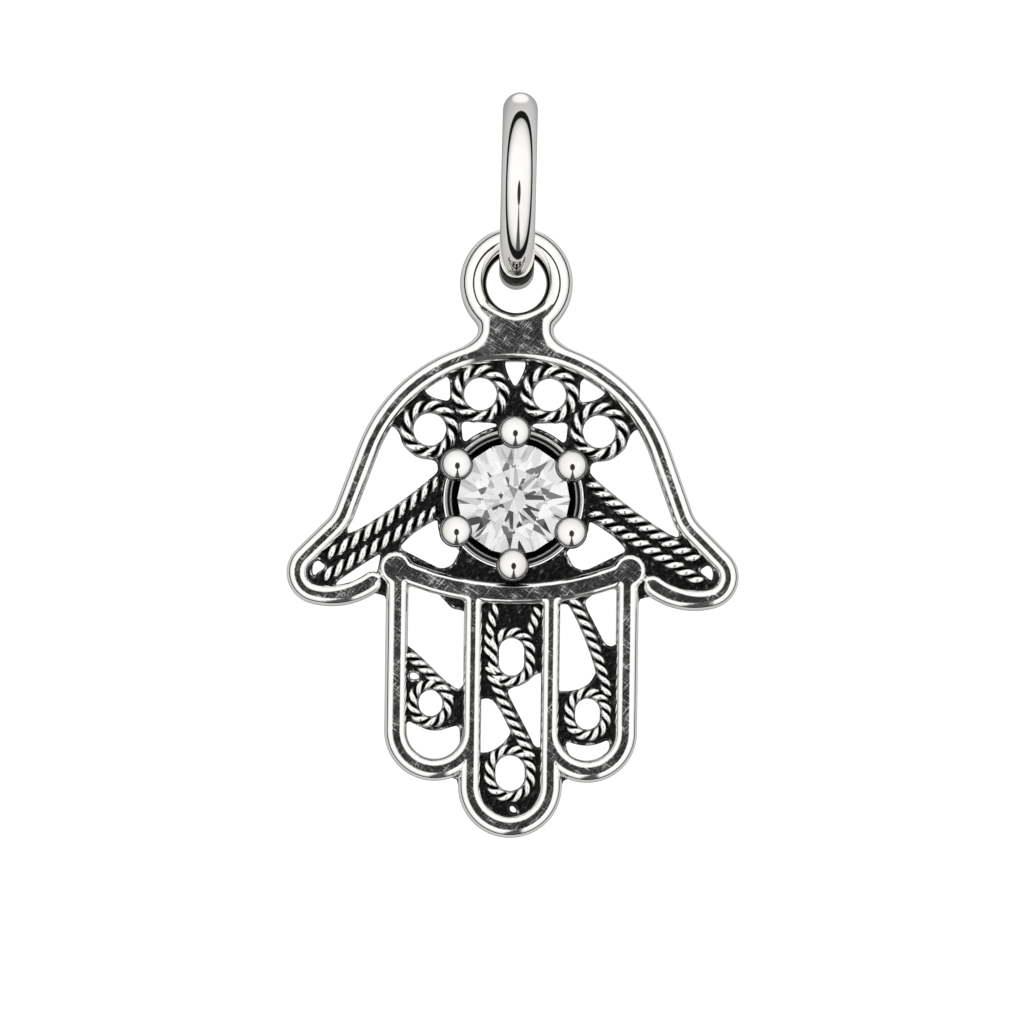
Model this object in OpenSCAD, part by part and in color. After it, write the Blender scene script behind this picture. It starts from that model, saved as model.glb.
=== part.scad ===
// Hamsa pendant: an openwork hand in cast silver, with twisted wires, a round stone in six ball prongs
// and a round jump ring.
// Z is up and the hand faces -Y. The origin is the inner top of the jump ring, where a chain bears.

/* [Jump ring] */
// Thickness of the ring's wire
ring_wire = 0.73; // [0.6:0.01:0.8]
// Inner diameter of the ring
ring_bore = 2.66; // [2.5:0.02:3.2]
// Gap between the ring's wire and the eye that hangs on it
hang_gap = 0.03; // [0.02:0.01:0.06]

/* [Eye] */
// Diameter of the eye's bore
eye_bore = 1.25; // [1.2:0.01:1.5]
// Radial width of the eye
eye_rim = 0.55; // [0.45:0.01:0.65]
// Thickness of the eye from front to back
eye_t = 0.9; // [0.7:0.02:1]
// Straight width left in the middle of the bore, between its two flares
eye_land = 0.2; // [0.1:0.02:0.3]
// How far each edge of the bore flares out
eye_flare = 0.17; // [0.12:0.01:0.2]
// Bevel on the outer edges of the eye
eye_bevel = 0.12; // [0.05:0.01:0.16]
// How far the eye reaches down into the strip of the arch
eye_overlap = 0.01; // [0.005:0.005:0.06]
// Width of the neck between the eye and the arch
neck_w = 1.43; // [1.3:0.01:1.6]
// Angle from the top of the arch to the foot of the neck's flare
neck_foot = 17; // [14:0.5:20]

/* [Outline of the hand] */
// Width of the frame strip
frame_w = 0.37; // [0.3:0.01:0.44]
// Thickness of the frame from front to back
frame_t = 1; // [0.8:0.02:1.2]
// Radius of the arch over the palm, to the middle of its strip
arch_r = 3.28; // [3.1:0.005:3.6]
// Straight side below the arch
side_len = 1.36; // [1.2:0.01:1.6]
// Lean of that side, out from straight down
side_lean = 20; // [16:0.5:24]
// Radius of the bend into the thumb
bend_r = 0.9; // [0.6:0.01:1.2]
// Straight back of the thumb
thumb_len = 0.88; // [0.8:0.01:1.15]
// Lean of the thumb, out from straight down
thumb_lean = 45; // [40:0.5:50]
// Radius of the thumb's round tip, to the middle of its strip
tip_r = 0.48; // [0.42:0.005:0.56]
// Turn of the strip round the tip
tip_turn = 120; // [112:1:128]
// Radius of the hook under the thumb, to the middle of its strip
hook_r = 1.46; // [1.3:0.01:1.7]
// Turn of the hook, back to the cuff
hook_turn = 52; // [48:1:56]

/* [Cuff] */
// Radius of the curved bar over the fingers, to its middle
cuff_r = 6.1; // [5.6:0.05:6.8]
// Width of that bar
cuff_w = 0.46; // [0.4:0.01:0.56]
// Depth of the bar's lowest point under the middle of the arch
cuff_drop = 1.84; // [1.7:0.005:1.95]
// Angle from the middle of the bar to each of its round heads
cuff_angle = 23.5; // [22.5:0.5:24.5]
// Diameter of the round heads
cuff_head = 0.69; // [0.6:0.01:0.8]

/* [Fingers] */
// Clear width inside each side finger
side_hole = 1.2; // [1:0.01:1.3]
// Clear width inside the middle finger
middle_hole = 1.27; // [1.1:0.01:1.4]
// Width of the bars between the fingers
finger_bar = 0.35; // [0.28:0.01:0.42]
// Width of the strip round the outside of the fingers
finger_w = 0.41; // [0.34:0.01:0.48]
// Length of the side fingers, from the bar to the middle of the round end
side_finger = 2.87; // [2.6:0.01:3.1]
// Length of the middle finger, measured the same way
middle_finger = 4; // [3.7:0.01:4.3]

/* [Pierced web] */
// Thickness of the web, flush with the back of the frame
web_t = 0.7; // [0.6:0.01:0.76]
// Radius in the corners of the openings, at most
opening_corner = 0.12; // [0.05:0.01:0.16]
// How far the web under a twisted wire reaches past each side of it
rib_edge = 0.01; // [0.005:0.005:0.03]
// Width of the web left round the seat of the setting
seat_collar = 0.1; // [0.06:0.01:0.14]
// Width of the web in the notches beside the middle finger and behind the hooks
notch_w = 0.26; // [0.15:0.01:0.35]

/* [Twisted wire] */
// Thickness of the twisted wire of the palm, over its two strands
twist_d = 0.28; // [0.24:0.01:0.3]
// Thickness of the finer twisted wire of the fingers
finger_twist_d = 0.24; // [0.2:0.01:0.27]
// Depth of the wire's top below the front of the frame
twist_drop = 0.12; // [0.06:0.01:0.18]
// Radius of the four rings in the palm, to the middle of the wire
coil_r = 0.49; // [0.42:0.01:0.5]

/* [Setting] */
// Height of the stone's middle above the middle of the arch
setting_rise = 0.13; // [0:0.01:0.2]
// Radius of the circle on which the prongs stand
prong_circle = 1.38; // [1.34:0.005:1.42]
// Number of prongs
prongs = 6; // [4:2:8]
// Diameter of the ball on each prong
ball_d = 0.63; // [0.5:0.01:0.7]
// Diameter of each prong's post
post_d = 0.28; // [0.2:0.01:0.3]
// Outer diameter of the gallery ring
gallery_od = 2.86; // [2.78:0.01:2.94]
// Wall of the gallery ring
gallery_wall = 0.15; // [0.1:0.01:0.2]
// Height of the gallery ring above the front of the frame
gallery_rise = 0.05; // [0:0.01:0.08]
// Width of the ledge inside the gallery that bears the stone
ledge_w = 0.3; // [0.24:0.01:0.4]
// Height of that ledge
ledge_t = 0.25; // [0.15:0.01:0.4]
// Gap between the setting and its seat in the web
seat_gap = 0.03; // [0.02:0.01:0.05]

/* [Stone] */
// Diameter of the stone
stone_d = 2.34; // [2.24:0.01:2.36]
// Diameter of its table
table_d = 1.29; // [1.18:0.01:1.4]
// Height of its crown
crown_h = 0.36; // [0.3:0.01:0.4]
// Thickness of its girdle
girdle_t = 0.07; // [0.04:0.01:0.1]
// Depth of its pavilion
pavilion_h = 1.03; // [0.95:0.01:1.08]
// Height of the girdle's upper edge above the front of the frame
girdle_rise = 0.12; // [0.08:0.01:0.2]
// Gap between the stone and the metal that holds it
stone_gap = 0.02; // [0.01:0.005:0.03]

/* [Hidden] */
$fn = 64;

silver = "#c9c9c6";
dark_silver = "#8f8f8d";

// Points of the pendant, as [x, z] in the plane of the hand
ring_r = (ring_bore + ring_wire) / 2;
ring_mid = [0, -ring_bore / 2];
hang_z = ring_mid.y - ring_r;
eye_r = eye_bore / 2 + eye_rim;
eye_mid = [0, hang_z + ring_wire / 2 + hang_gap - eye_bore / 2];
arch_top = eye_mid.y - eye_r - frame_w / 2 + eye_overlap;
palm = [0, arch_top - arch_r];
setting_mid = palm + [0, setting_rise];
cuff_z = palm.y - cuff_drop;
cuff_mid = [0, cuff_z + cuff_r];
finger_pitch = (middle_hole + side_hole) / 2 + finger_bar;
middle_tip = [0, cuff_z - middle_finger];
side_tip = [finger_pitch, cuff_z - side_finger];

front = frame_t / 2;
web_front = web_t - frame_t / 2;
girdle_top = front + girdle_rise;
girdle_low = girdle_top - girdle_t;

// Largest step of an arc, in degrees
arc_step = 7.5;
// Rounding of a corner: steps of its curve, and the share of a side that it may use
corner_steps = 3;
corner_share = 0.45;
// Middle of the eye's flare, as shares of the flare and of half the eye's thickness
flare_mid = [1 / 3, 0.65];
// How far a cutter reaches past what it cuts
cut_over = 1;
stone_sides = 16;

function dir(a) = [cos(a), sin(a)];
function flip(points) = [for (p = points) [-p.x, p.y]];
function reversed(list) = [for (i = [len(list) - 1:-1:0]) list[i]];
function mix(a, b, t) = a * (1 - t) + b * t;
function unit(v) = v / norm(v);

// Arc about a middle, from one angle to another
function arc(mid, r, from, to) =
    let (n = max(2, ceil(abs(to - from) / arc_step)))
    [for (i = [0:n]) mid + r * dir(mix(from, to, i / n))];

// Curve that leaves a towards b and comes to c from b, in n steps
function bend(a, b, c, n) = [for (i = [0:n]) let (t = i / n) mix(mix(a, b, t), mix(b, c, t), t)];

// Closed outline with its corners rounded, by r at most
function rounded(points, r) =
    let (n = len(points))
    [for (i = [0:n - 1])
        let (
            p = points[i],
            before = points[(i + n - 1) % n] - p,
            after = points[(i + 1) % n] - p,
            a = p + unit(before) * min(r, norm(before) * corner_share),
            b = p + unit(after) * min(r, norm(after) * corner_share)
        )
        each bend(a, p, b, corner_steps)];

// Unit direction of a line of points at point i
function heading(line, i) = unit(line[min(i + 1, len(line) - 1)] - line[max(i - 1, 0)]);
function beside(line, d) =
    [for (i = [0:len(line) - 1]) let (h = heading(line, i)) line[i] + d * [-h.y, h.x]];
// Flat strip of width w along a line of points
function strip(line, w) = concat(beside(line, w / 2), reversed(beside(line, -w / 2)));

// Line walked from a start, with rows of [length, turn, radius]: a straight, or an arc where there is a turn
function turtle(at, angle, rows, row = 0) =
    row == len(rows) ? [at] :
    let (
        length = rows[row][0],
        turn = rows[row][1],
        r = rows[row][2],
        mid = at + r * sign(turn) * [-sin(angle), cos(angle)],
        n = max(1, ceil(abs(turn) / arc_step)),
        points = turn == 0
            ? [at, at + length * dir(angle)]
            : [for (i = [0:n])
                mid + r * sign(turn) * [sin(angle + turn * i / n), -cos(angle + turn * i / n)]]
    )
    concat([for (i = [0:len(points) - 2]) points[i]],
        turtle(points[len(points) - 1], angle + turn, rows, row + 1));

// Right half of the hand's outline, from the top of the arch to the cuff: [length, turn, radius]
outline_rows = [
    [0, side_lean - 90, arch_r],
    [side_len, 0, 0],
    [0, thumb_lean - side_lean, bend_r],
    [thumb_len, 0, 0],
    [0, -tip_turn, tip_r],
    [0, -hook_turn, hook_r]
];
outline = turtle([0, arch_top], 0, outline_rows);
hook_end = outline[len(outline) - 1];
// Middle of the round tip of the thumb, which the first four rows lead up to
thumb_back = turtle([0, arch_top], 0, [for (i = [0:3]) outline_rows[i]]);
thumb_tip = thumb_back[len(thumb_back) - 1] - tip_r * dir(thumb_lean);

function cuff_point(x) = [x, cuff_mid.y - sqrt(pow(cuff_r, 2) - x * x)];
cuff_end = cuff_mid + cuff_r * dir(cuff_angle - 90);

// Place in the palm, as shares of the arch's radius out from its middle
function in_palm(p) = palm + arch_r * p;
// Place in a finger, as shares of half its hole across and of its length up from its round end
function in_finger(tip, hole, length, p) = tip + [p.x * hole / 2, p.y * length];

// Openings of the palm, right half, in shares of the arch's radius: [x, z] of each corner
palm_openings = [
    [[0.416, 0.809], [0.411, 0.654], [0.528, 0.68], [0.584, 0.728], [0.487, 0.829]],
    [[0.34, 0.533], [0.117, 0.523], [0.112, 0.494], [0.325, 0.393]],
    [[0.782, 0.505], [0.731, 0.454], [0.71, 0.372], [0.619, 0.296], [0.489, 0.28], [0.482, 0.19],
        [0.579, 0.088], [0.721, -0.023], [0.853, -0.11], [0.974, -0.17], [1.06, -0.196], [0.964, 0.22],
        [0.863, 0.464]],
    [[0.482, -0.089], [0.477, -0.175], [0.412, -0.25], [0.33, -0.277], [0.386, -0.387], [0.457, -0.409],
        [0.726, -0.277], [0.619, -0.165], [0.528, -0.104]],
    [[1.27, -0.376], [1.215, -0.355], [1.185, -0.403], [1.225, -0.47], [1.275, -0.457]]
];
// Opening over the middle of the palm
top_opening = [[-0.07, 0.925], [0.07, 0.925], [0.055, 0.85], [0, 0.745], [-0.055, 0.85]];
// Slot between the twisted wires and the hook of the left thumb
left_slot = [[-1.127, -0.505], [-0.985, -0.404], [-0.837, -0.308], [-0.863, -0.45], [-1.035, -0.56],
    [-1.115, -0.56]];

// Openings of the fingers, in shares of half the hole and of the finger's length
left_finger_openings = [
    [[-1.05, 1.06], [0.05, 1.0], [0.35, 0.93], [0.55, 0.885], [1.05, 0.87], [1.05, 0.36], [0.85, 0.3],
        [0.65, 0.32], [-0.16, 0.445], [-0.69, 0.53], [-1.05, 0.61]],
    [[-0.88, 0.425], [-0.58, 0.41], [-0.54, 0.375], [-0.88, 0.368]],
    [[-0.97, 0.07], [-0.72, 0.05], [-0.3, 0.005], [0.15, -0.005], [0.6, 0.03], [0.85, 0.04], [0.9, -0.08],
        [0.55, -0.24], [-0.6, -0.24], [-1.05, -0.08]]
];
right_finger_openings = [
    [[-1.05, 0.93], [-0.6, 0.93], [0.3, 0.55], [0.37, 0.47], [0.1, 0.36], [-0.4, 0.305], [-1.05, 0.3]],
    [[-0.13, 0.955], [0.4, 1.04], [0.8, 1.1], [1.05, 1.06], [1.05, 0.66], [0.85, 0.625], [0.6, 0.645],
        [-0.05, 0.9]],
    [[-0.74, -0.06], [-0.43, -0.085], [0.02, -0.1], [0.44, -0.08], [0.75, -0.048], [0.82, -0.096],
        [0.65, -0.18], [0.2, -0.225], [-0.3, -0.22], [-0.65, -0.15]]
];
middle_finger_openings = [
    [[1.05, 0.59], [0.8, 0.585], [0.5, 0.535], [-0.15, 0.5], [0, 0.45], [0.64, 0.26], [0.8, 0.205],
        [1.05, 0.205]],
    [[-1.05, 0.45], [-0.65, 0.455], [0.05, 0.31], [-0.02, 0.265], [-0.3, 0.21], [-0.7, 0.175],
        [-1.05, 0.17]],
    [[0, -0.105], [0.15, -0.105], [0.26, -0.14], [0.02, -0.135]]
];

// Places of the rings of twisted wire in the palm, right half, in shares of the arch's radius
palm_coils = [[0.22, 0.707], [0.539, 0.478]];
// Rings in the fingers: [place, radius and straight stretch], in shares of half the hole; the place's
// second share is of the finger's length
left_coil = [[-0.07, 0.182], 0.625, 0.08];
right_coil = [[0.02, 0.135], 0.645, 0.21];
middle_coils = [[[0, 0.672], 0.614, 0.41], [[0, 0.066], 0.682, 0.2]];
// Tails of twisted wire in the fingers: [start, end, bow], the bow as a share of the tail's length
left_tail = [[-1.03, 0.57], [0.6, 0.218], 0.03];
right_tail = [[-0.6, 0.985], [0.72, 0.255], 0.045];
middle_tails = [
    [[-0.5, 0.95], [-0.72, 0.66], -0.06],
    [[-0.78, 0.63], [0.74, 0.14], -0.02],
    [[0.82, 0.94], [0.56, 0.79], 0.05]
];

// Twisted wires of the thumb: [angle at the setting, end from the middle of the tip as shares of the
// tip's radius, bow as a share of the wire's length]
thumb_wires = [
    [15, [-0.28, 0.7], -0.03],
    [-8, [-0.14, -0.26], 0]
];
thumb_ends = [for (row = thumb_wires)
    [setting_mid + (gallery_od + twist_d) / 2 * dir(row[0]), thumb_tip + tip_r * row[1], row[2]]];

// Open twisted wires of the palm and of the fingers, as [start, end, bow]
palm_wires = concat(thumb_ends, [for (w = thumb_ends) [[-w[0].x, w[0].y], [-w[1].x, w[1].y], -w[2]]]);
finger_wires = concat(
    [placed(left_tail, [-side_tip.x, side_tip.y], side_hole, side_finger)],
    [placed(right_tail, side_tip, side_hole, side_finger)],
    [for (t = middle_tails) placed(t, middle_tip, middle_hole, middle_finger)]
);
function placed(tail, tip, hole, length) =
    [in_finger(tip, hole, length, tail[0]), in_finger(tip, hole, length, tail[1]), tail[2]];

// Middle, radius, first angle and turn of the arc that bows by a share of its chord
function bow_arc(a, b, bow) =
    let (
        chord = norm(b - a),
        half_turn = 2 * atan(2 * bow),
        r = chord / 2 / sin(half_turn),
        left = [a.y - b.y, b.x - a.x] / chord,
        mid = (a + b) / 2 - r * cos(half_turn) * left,
        from = atan2(a.y - mid.y, a.x - mid.x)
    )
    [mid, abs(r), from, -2 * half_turn];
function wire_line(w) =
    w[2] == 0 ? [w[0], w[1]] : let (f = bow_arc(w[0], w[1], w[2])) arc(f[0], f[1], f[2], f[2] + f[3]);
// Outline of a ring with two straight sides, at a distance in from its middle line
function ring_line(mid, r, stretch) = concat(
    arc(mid + [0, stretch / 2], r, 0, 180),
    arc(mid - [0, stretch / 2], r, 180, 360)
);

// Closed rings of twisted wire, as [middle, radius, straight stretch]
palm_rings = [for (c = palm_coils, side = [-1, 1]) [in_palm([side * c.x, c.y]), coil_r, 0]];
finger_rings = concat(
    [finger_coil(left_coil, [-side_tip.x, side_tip.y], side_hole, side_finger)],
    [finger_coil(right_coil, side_tip, side_hole, side_finger)],
    [for (c = middle_coils) finger_coil(c, middle_tip, middle_hole, middle_finger)]
);
function finger_coil(c, tip, hole, length) =
    [in_finger(tip, hole, length, c[0]), c[1] * hole / 2, c[2] * hole / 2];

// Stands a flat shape up in the plane of the hand, from a depth behind the middle towards the front
module upright(back, height) {
    rotate([90, 0, 0]) translate([0, 0, back]) linear_extrude(height) children();
}

module round_band(points, w) {
    polygon(strip(points, w));
}

// Flat shape of the frame: outline, cuff and three fingers
module frame_shape() {
    round_band(concat(reversed(flip(outline)), [for (i = [1:len(outline) - 1]) outline[i]]), frame_w);
    round_band(arc(cuff_mid, cuff_r, -90 - cuff_angle, -90 + cuff_angle), cuff_w);
    for (side = [0, 1])
        mirror([side, 0]) translate(cuff_end) circle(d = cuff_head);
    difference() {
        all_fingers(finger_w);
        all_fingers(0);
    }
}

module all_fingers(margin) {
    finger_body(middle_tip, middle_hole / 2 + margin);
    for (side = [0, 1])
        mirror([side, 0]) finger_body(side_tip, side_hole / 2 + margin);
}

// Solid outline of a finger, from the middle of the cuff's bar to its round end
module finger_body(tip, r) {
    translate(tip) circle(r = r);
    polygon([for (x = [-r, 0, r]) cuff_point(tip.x + x), tip + [r, 0], tip - [r, 0]]);
}

module web_opening(corners) {
    polygon(rounded(corners, opening_corner));
}

// Flat shape of the web behind the palm, inside the frame's middle line
module palm_web() {
    half = concat(outline, reversed(arc(cuff_mid, cuff_r, -90, cuff_angle - 90)));
    seat_d = gallery_od + 2 * seat_gap;
    rib = twist_d + 2 * rib_edge;
    difference() {
        union() {
            difference() {
                polygon(concat(half, reversed(flip(half))));
                for (opening = palm_openings, side = [-1, 1])
                    web_opening([for (p = opening) in_palm([side * p.x, p.y])]);
                web_opening([for (p = top_opening) in_palm(p)]);
                web_opening([for (p = left_slot) in_palm(p)]);
            }
            translate(setting_mid) circle(d = seat_d + 2 * seat_collar);
            for (w = palm_wires)
                round_band(wire_line(w), rib);
        }
        for (ring = palm_rings)
            translate(ring[0]) circle(r = ring[1] - rib / 2);
        translate(setting_mid) circle(d = seat_d);
    }
}

// Flat shape of the web inside one finger
module finger_web(tip, hole, length, openings, rings) {
    r = (hole + finger_bar) / 2;
    difference() {
        polygon(concat([for (x = [r, 0, -r]) cuff_point(tip.x + x)], arc(tip, r, 180, 360)));
        for (opening = openings)
            web_opening([for (p = opening) in_finger(tip, hole, length, p)]);
        for (ring = rings)
            let (c = finger_coil(ring, tip, hole, length))
            polygon(ring_line(c[0], c[1] - finger_twist_d / 2 - rib_edge, c[2]));
    }
}

// Webs in the notch between a side finger and the middle finger, and in the one behind the hook
module notch_webs() {
    out = middle_hole / 2 + finger_w;
    under = side_tip - [0, side_hole / 2 + finger_w];
    polygon([
        [out - finger_w / 2, side_tip.y],
        [side_tip.x - notch_w, side_tip.y - side_hole / 2],
        [out + notch_w, under.y + notch_w / 4],
        [out + notch_w / 4, under.y],
        [out, under.y - notch_w],
        [out - finger_w / 2, under.y - notch_w]
    ]);
    side = side_tip.x + side_hole / 2 + finger_w;
    foot = hook_end - [0, frame_w / 2];
    polygon([
        hook_end + [notch_w, 0],
        foot,
        [side + notch_w / 4, foot.y - notch_w / 4],
        [side, foot.y - notch_w],
        [side - finger_w / 2, foot.y - notch_w],
        [side - finger_w / 2, hook_end.y + frame_w],
        hook_end + [0, frame_w / 4]
    ]);
}

module web_shape() {
    palm_web();
    finger_web([-side_tip.x, side_tip.y], side_hole, side_finger, left_finger_openings, [left_coil]);
    finger_web(side_tip, side_hole, side_finger, right_finger_openings, [right_coil]);
    finger_web(middle_tip, middle_hole, middle_finger, middle_finger_openings, middle_coils);
    for (w = finger_wires)
        round_band(wire_line(w), finger_twist_d + 2 * rib_edge);
    for (side = [0, 1])
        mirror([side, 0]) notch_webs();
}

// Part of a wire's circle about a middle, from an angle through a turn
module wire_arc(mid, r, from, turn, d) {
    translate(mid) rotate([0, 0, turn < 0 ? from + turn : from])
        rotate_extrude(angle = abs(turn)) translate([r, 0]) circle(d = d);
}

// Straight wire from a to b
module wire_straight(a, b, d) {
    translate(a) rotate([0, 0, atan2(b.y - a.y, b.x - a.x)]) rotate([0, 90, 0])
        cylinder(d = d, h = norm(b - a));
}

// Round or long ring of wire
module wire_ring(mid, r, stretch, d) {
    up = [0, stretch / 2];
    if (stretch == 0)
        translate(mid) rotate_extrude() translate([r, 0]) circle(d = d);
    else {
        wire_arc(mid + up, r, 0, 180, d);
        wire_arc(mid - up, r, 180, 180, d);
        for (x = [-r, r])
            wire_straight(mid - up + [x, 0], mid + up + [x, 0], d);
    }
}

// Straight or bowed wire, as [start, end, bow]
module open_wire(w, d) {
    if (w[2] == 0)
        wire_straight(w[0], w[1], d);
    else {
        f = bow_arc(w[0], w[1], w[2]);
        wire_arc(f[0], f[1], f[2], f[3], d);
    }
}

// Twisted wires by their outer form, which the two strands fill
module twisted_wires() {
    top = front - twist_drop;
    rotate([90, 0, 0]) {
        translate([0, 0, top - twist_d / 2]) {
            for (ring = palm_rings)
                wire_ring(ring[0], ring[1], ring[2], twist_d);
            for (w = palm_wires)
                open_wire(w, twist_d);
        }
        translate([0, 0, top - finger_twist_d / 2]) {
            for (ring = finger_rings)
                wire_ring(ring[0], ring[1], ring[2], finger_twist_d);
            for (w = finger_wires)
                open_wire(w, finger_twist_d);
        }
    }
}

module jump_ring() {
    color(silver)
        translate([0, 0, ring_mid.y]) rotate([0, 90, 0])
            rotate_extrude() translate([ring_r, 0]) circle(d = ring_wire);
}

// Round eye with a flared bore, about the axis on which the ring's wire passes through
module eye() {
    bore_r = eye_bore / 2;
    t = eye_t / 2;
    mid = [bore_r + eye_flare * flare_mid.x, t * flare_mid.y];
    translate([0, 0, eye_mid.y]) rotate([90, 0, 0])
        rotate_extrude() polygon([
            [bore_r, -eye_land / 2], mid - [0, 2 * mid.y], [bore_r + eye_flare, -t],
            [eye_r - eye_bevel, -t], [eye_r, eye_bevel - t],
            [eye_r, t - eye_bevel], [eye_r - eye_bevel, t],
            [bore_r + eye_flare, t], mid, [bore_r, eye_land / 2]
        ]);
}

// Neck from the eye down into the arch, with a flare at its foot
module neck() {
    side_angle = -acos(neck_w / 2 / eye_r);
    foot = palm + (arch_r + frame_w / 4) * dir(90 - neck_foot);
    side = [neck_w / 2, foot.y];
    side_top = mix(side, [side.x, eye_mid.y - eye_r], 0.5);
    half = concat([eye_mid + eye_r * dir(side_angle)], bend(side_top, side, foot, 4));
    band_r = eye_r - eye_rim / 2;
    upright(-eye_t / 2, eye_t)
        polygon(concat(half, reversed(flip(half)), arc(eye_mid, band_r, -180 - side_angle, side_angle)));
}

module hand_frame() {
    color(silver) {
        upright(-front, frame_t) frame_shape();
        eye();
        neck();
    }
    color(dark_silver) upright(-front, web_t) web_shape();
    color(silver) twisted_wires();
}

// Six-prong head: gallery ring, ledge for the stone, posts and balls
module stone_setting() {
    gallery_r = gallery_od / 2;
    inner_r = gallery_r - gallery_wall;
    pavilion_slope = pavilion_h / (stone_d / 2);
    ledge_r = gallery_r - ledge_w;
    ledge_top = girdle_low - (stone_d / 2 - ledge_r) * pavilion_slope - stone_gap * norm([1, pavilion_slope]);
    crown_run = (stone_d - table_d) / 2;
    crown_slant = norm([crown_run, crown_h]);
    post_foot = web_front + seat_gap;
    over_edge = (prong_circle - stone_d / 2) * crown_h;
    ball_h = girdle_top + ((ball_d / 2 + stone_gap) * crown_slant - over_edge) / crown_run;
    color(silver)
        translate([0, 0, setting_mid.y]) rotate([90, 0, 0]) {
            translate([0, 0, -front]) difference() {
                cylinder(r = gallery_r, h = frame_t + gallery_rise);
                translate([0, 0, -cut_over]) cylinder(r = inner_r, h = frame_t + gallery_rise + 2 * cut_over);
            }
            translate([0, 0, ledge_top - ledge_t]) difference() {
                cylinder(r = (gallery_r + inner_r) / 2, h = ledge_t);
                translate([0, 0, -cut_over]) cylinder(r = ledge_r, h = ledge_t + 2 * cut_over);
            }
            for (i = [0:prongs - 1])
                rotate([0, 0, 90 + 360 * i / prongs]) translate([prong_circle, 0, 0]) {
                    translate([0, 0, post_foot]) cylinder(d = post_d, h = ball_h - post_foot);
                    translate([0, 0, ball_h]) sphere(d = ball_d);
                }
        }
}

// Round brilliant: table, star, kite and upper facets of the crown, girdle, and a pointed pavilion
module stone() {
    n = stone_sides;
    r = stone_d / 2;
    table_r = table_d / 2;
    break_r = (r + table_r) / 2;
    // Height at which the kite facets stay flat
    break_h = crown_h * (r - break_r * cos(360 / n)) / (r - table_r);
    points = concat(
        [for (i = [0:n - 1]) [each r * dir(360 * i / n), girdle_low]],
        [for (i = [0:n - 1]) [each r * dir(360 * i / n), girdle_top]],
        [for (i = [0:n / 2 - 1]) [each break_r * dir(720 * (i + 0.5) / n), girdle_top + break_h]],
        [for (i = [0:n / 2 - 1]) [each table_r * dir(720 * i / n), girdle_top + crown_h]],
        [[0, 0, girdle_low - pavilion_h]]
    );
    edge = function (i) n + i % n;
    break = function (i) 2 * n + (i + n) % (n / 2);
    rim = function (i) 2 * n + n / 2 + i % (n / 2);
    culet = 3 * n;
    faces = concat(
        [[for (i = [n / 2 - 1:-1:0]) rim(i)]],
        [for (i = [0:n / 2 - 1]) each [
            [rim(i), rim(i + 1), break(i)],
            [rim(i), break(i), edge(2 * i), break(i - 1)],
            [break(i), edge(2 * i + 1), edge(2 * i)],
            [break(i), edge(2 * i + 2), edge(2 * i + 1)]
        ]],
        [for (i = [0:n - 1]) each [
            [i, edge(i), edge(i + 1), (i + 1) % n],
            [culet, i, (i + 1) % n]
        ]]
    );
    color("#e8f0f4")
        translate([0, 0, setting_mid.y]) rotate([90, 0, 0]) polyhedron(points, faces);
}

jump_ring();
hand_frame();
stone_setting();
stone();
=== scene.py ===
"""Hamsa pendant: the finish of the cast hand, its twisted wires, the stone in its prongs and the jump ring.

Sizes are in millimetres, in the frame of the CAD: Z up, the hand faces -Y, and the origin is the inner top
of the jump ring. A place in the plane of the hand is [x, z]. A height is towards the front, from the middle
of the metal.
"""

import math

import bpy
import numpy as np
from mathutils import Matrix, Vector
from mathutils.geometry import delaunay_2d_cdt

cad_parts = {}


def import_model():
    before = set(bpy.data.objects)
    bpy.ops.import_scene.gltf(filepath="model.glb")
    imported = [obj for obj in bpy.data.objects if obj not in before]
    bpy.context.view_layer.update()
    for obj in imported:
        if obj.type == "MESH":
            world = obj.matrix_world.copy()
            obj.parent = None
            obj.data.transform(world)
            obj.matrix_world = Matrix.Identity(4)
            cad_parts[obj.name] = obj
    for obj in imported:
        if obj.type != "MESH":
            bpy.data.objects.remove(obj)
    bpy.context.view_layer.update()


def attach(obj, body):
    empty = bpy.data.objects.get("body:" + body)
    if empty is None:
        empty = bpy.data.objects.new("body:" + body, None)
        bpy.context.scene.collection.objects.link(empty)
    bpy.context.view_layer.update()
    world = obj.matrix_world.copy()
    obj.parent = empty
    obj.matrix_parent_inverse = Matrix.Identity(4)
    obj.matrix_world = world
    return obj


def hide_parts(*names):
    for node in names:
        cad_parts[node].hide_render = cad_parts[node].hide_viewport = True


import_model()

MM = 0.001

# Jump ring and eye
RING_WIRE, RING_BORE, HANG_GAP = 0.73, 2.66, 0.03
EYE_BORE, EYE_RIM, EYE_T, EYE_OVERLAP, NECK_W = 1.25, 0.55, 0.9, 0.01, 1.43

# Outline of the hand
FRAME_W, FRAME_T, ARCH_R, BEND_R = 0.37, 1.0, 3.28, 0.9
SIDE_LEN, SIDE_LEAN, THUMB_LEN, THUMB_LEAN = 1.36, 20, 0.88, 45
TIP_R, TIP_TURN, HOOK_R, HOOK_TURN = 0.48, 120, 1.46, 52

# Cuff and fingers
CUFF_R, CUFF_W, CUFF_DROP, CUFF_ANGLE, CUFF_HEAD = 6.1, 0.46, 1.84, 23.5, 0.69
SIDE_HOLE, MIDDLE_HOLE, FINGER_BAR, FINGER_W = 1.2, 1.27, 0.35, 0.41
SIDE_FINGER, MIDDLE_FINGER = 2.87, 4.0

# Web and twisted wire
WEB_T, OPENING_CORNER, RIB_EDGE, SEAT_COLLAR, NOTCH_W = 0.7, 0.12, 0.01, 0.1, 0.26
TWIST_D, FINGER_TWIST_D, TWIST_DROP, COIL_R = 0.28, 0.24, 0.12, 0.49

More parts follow.
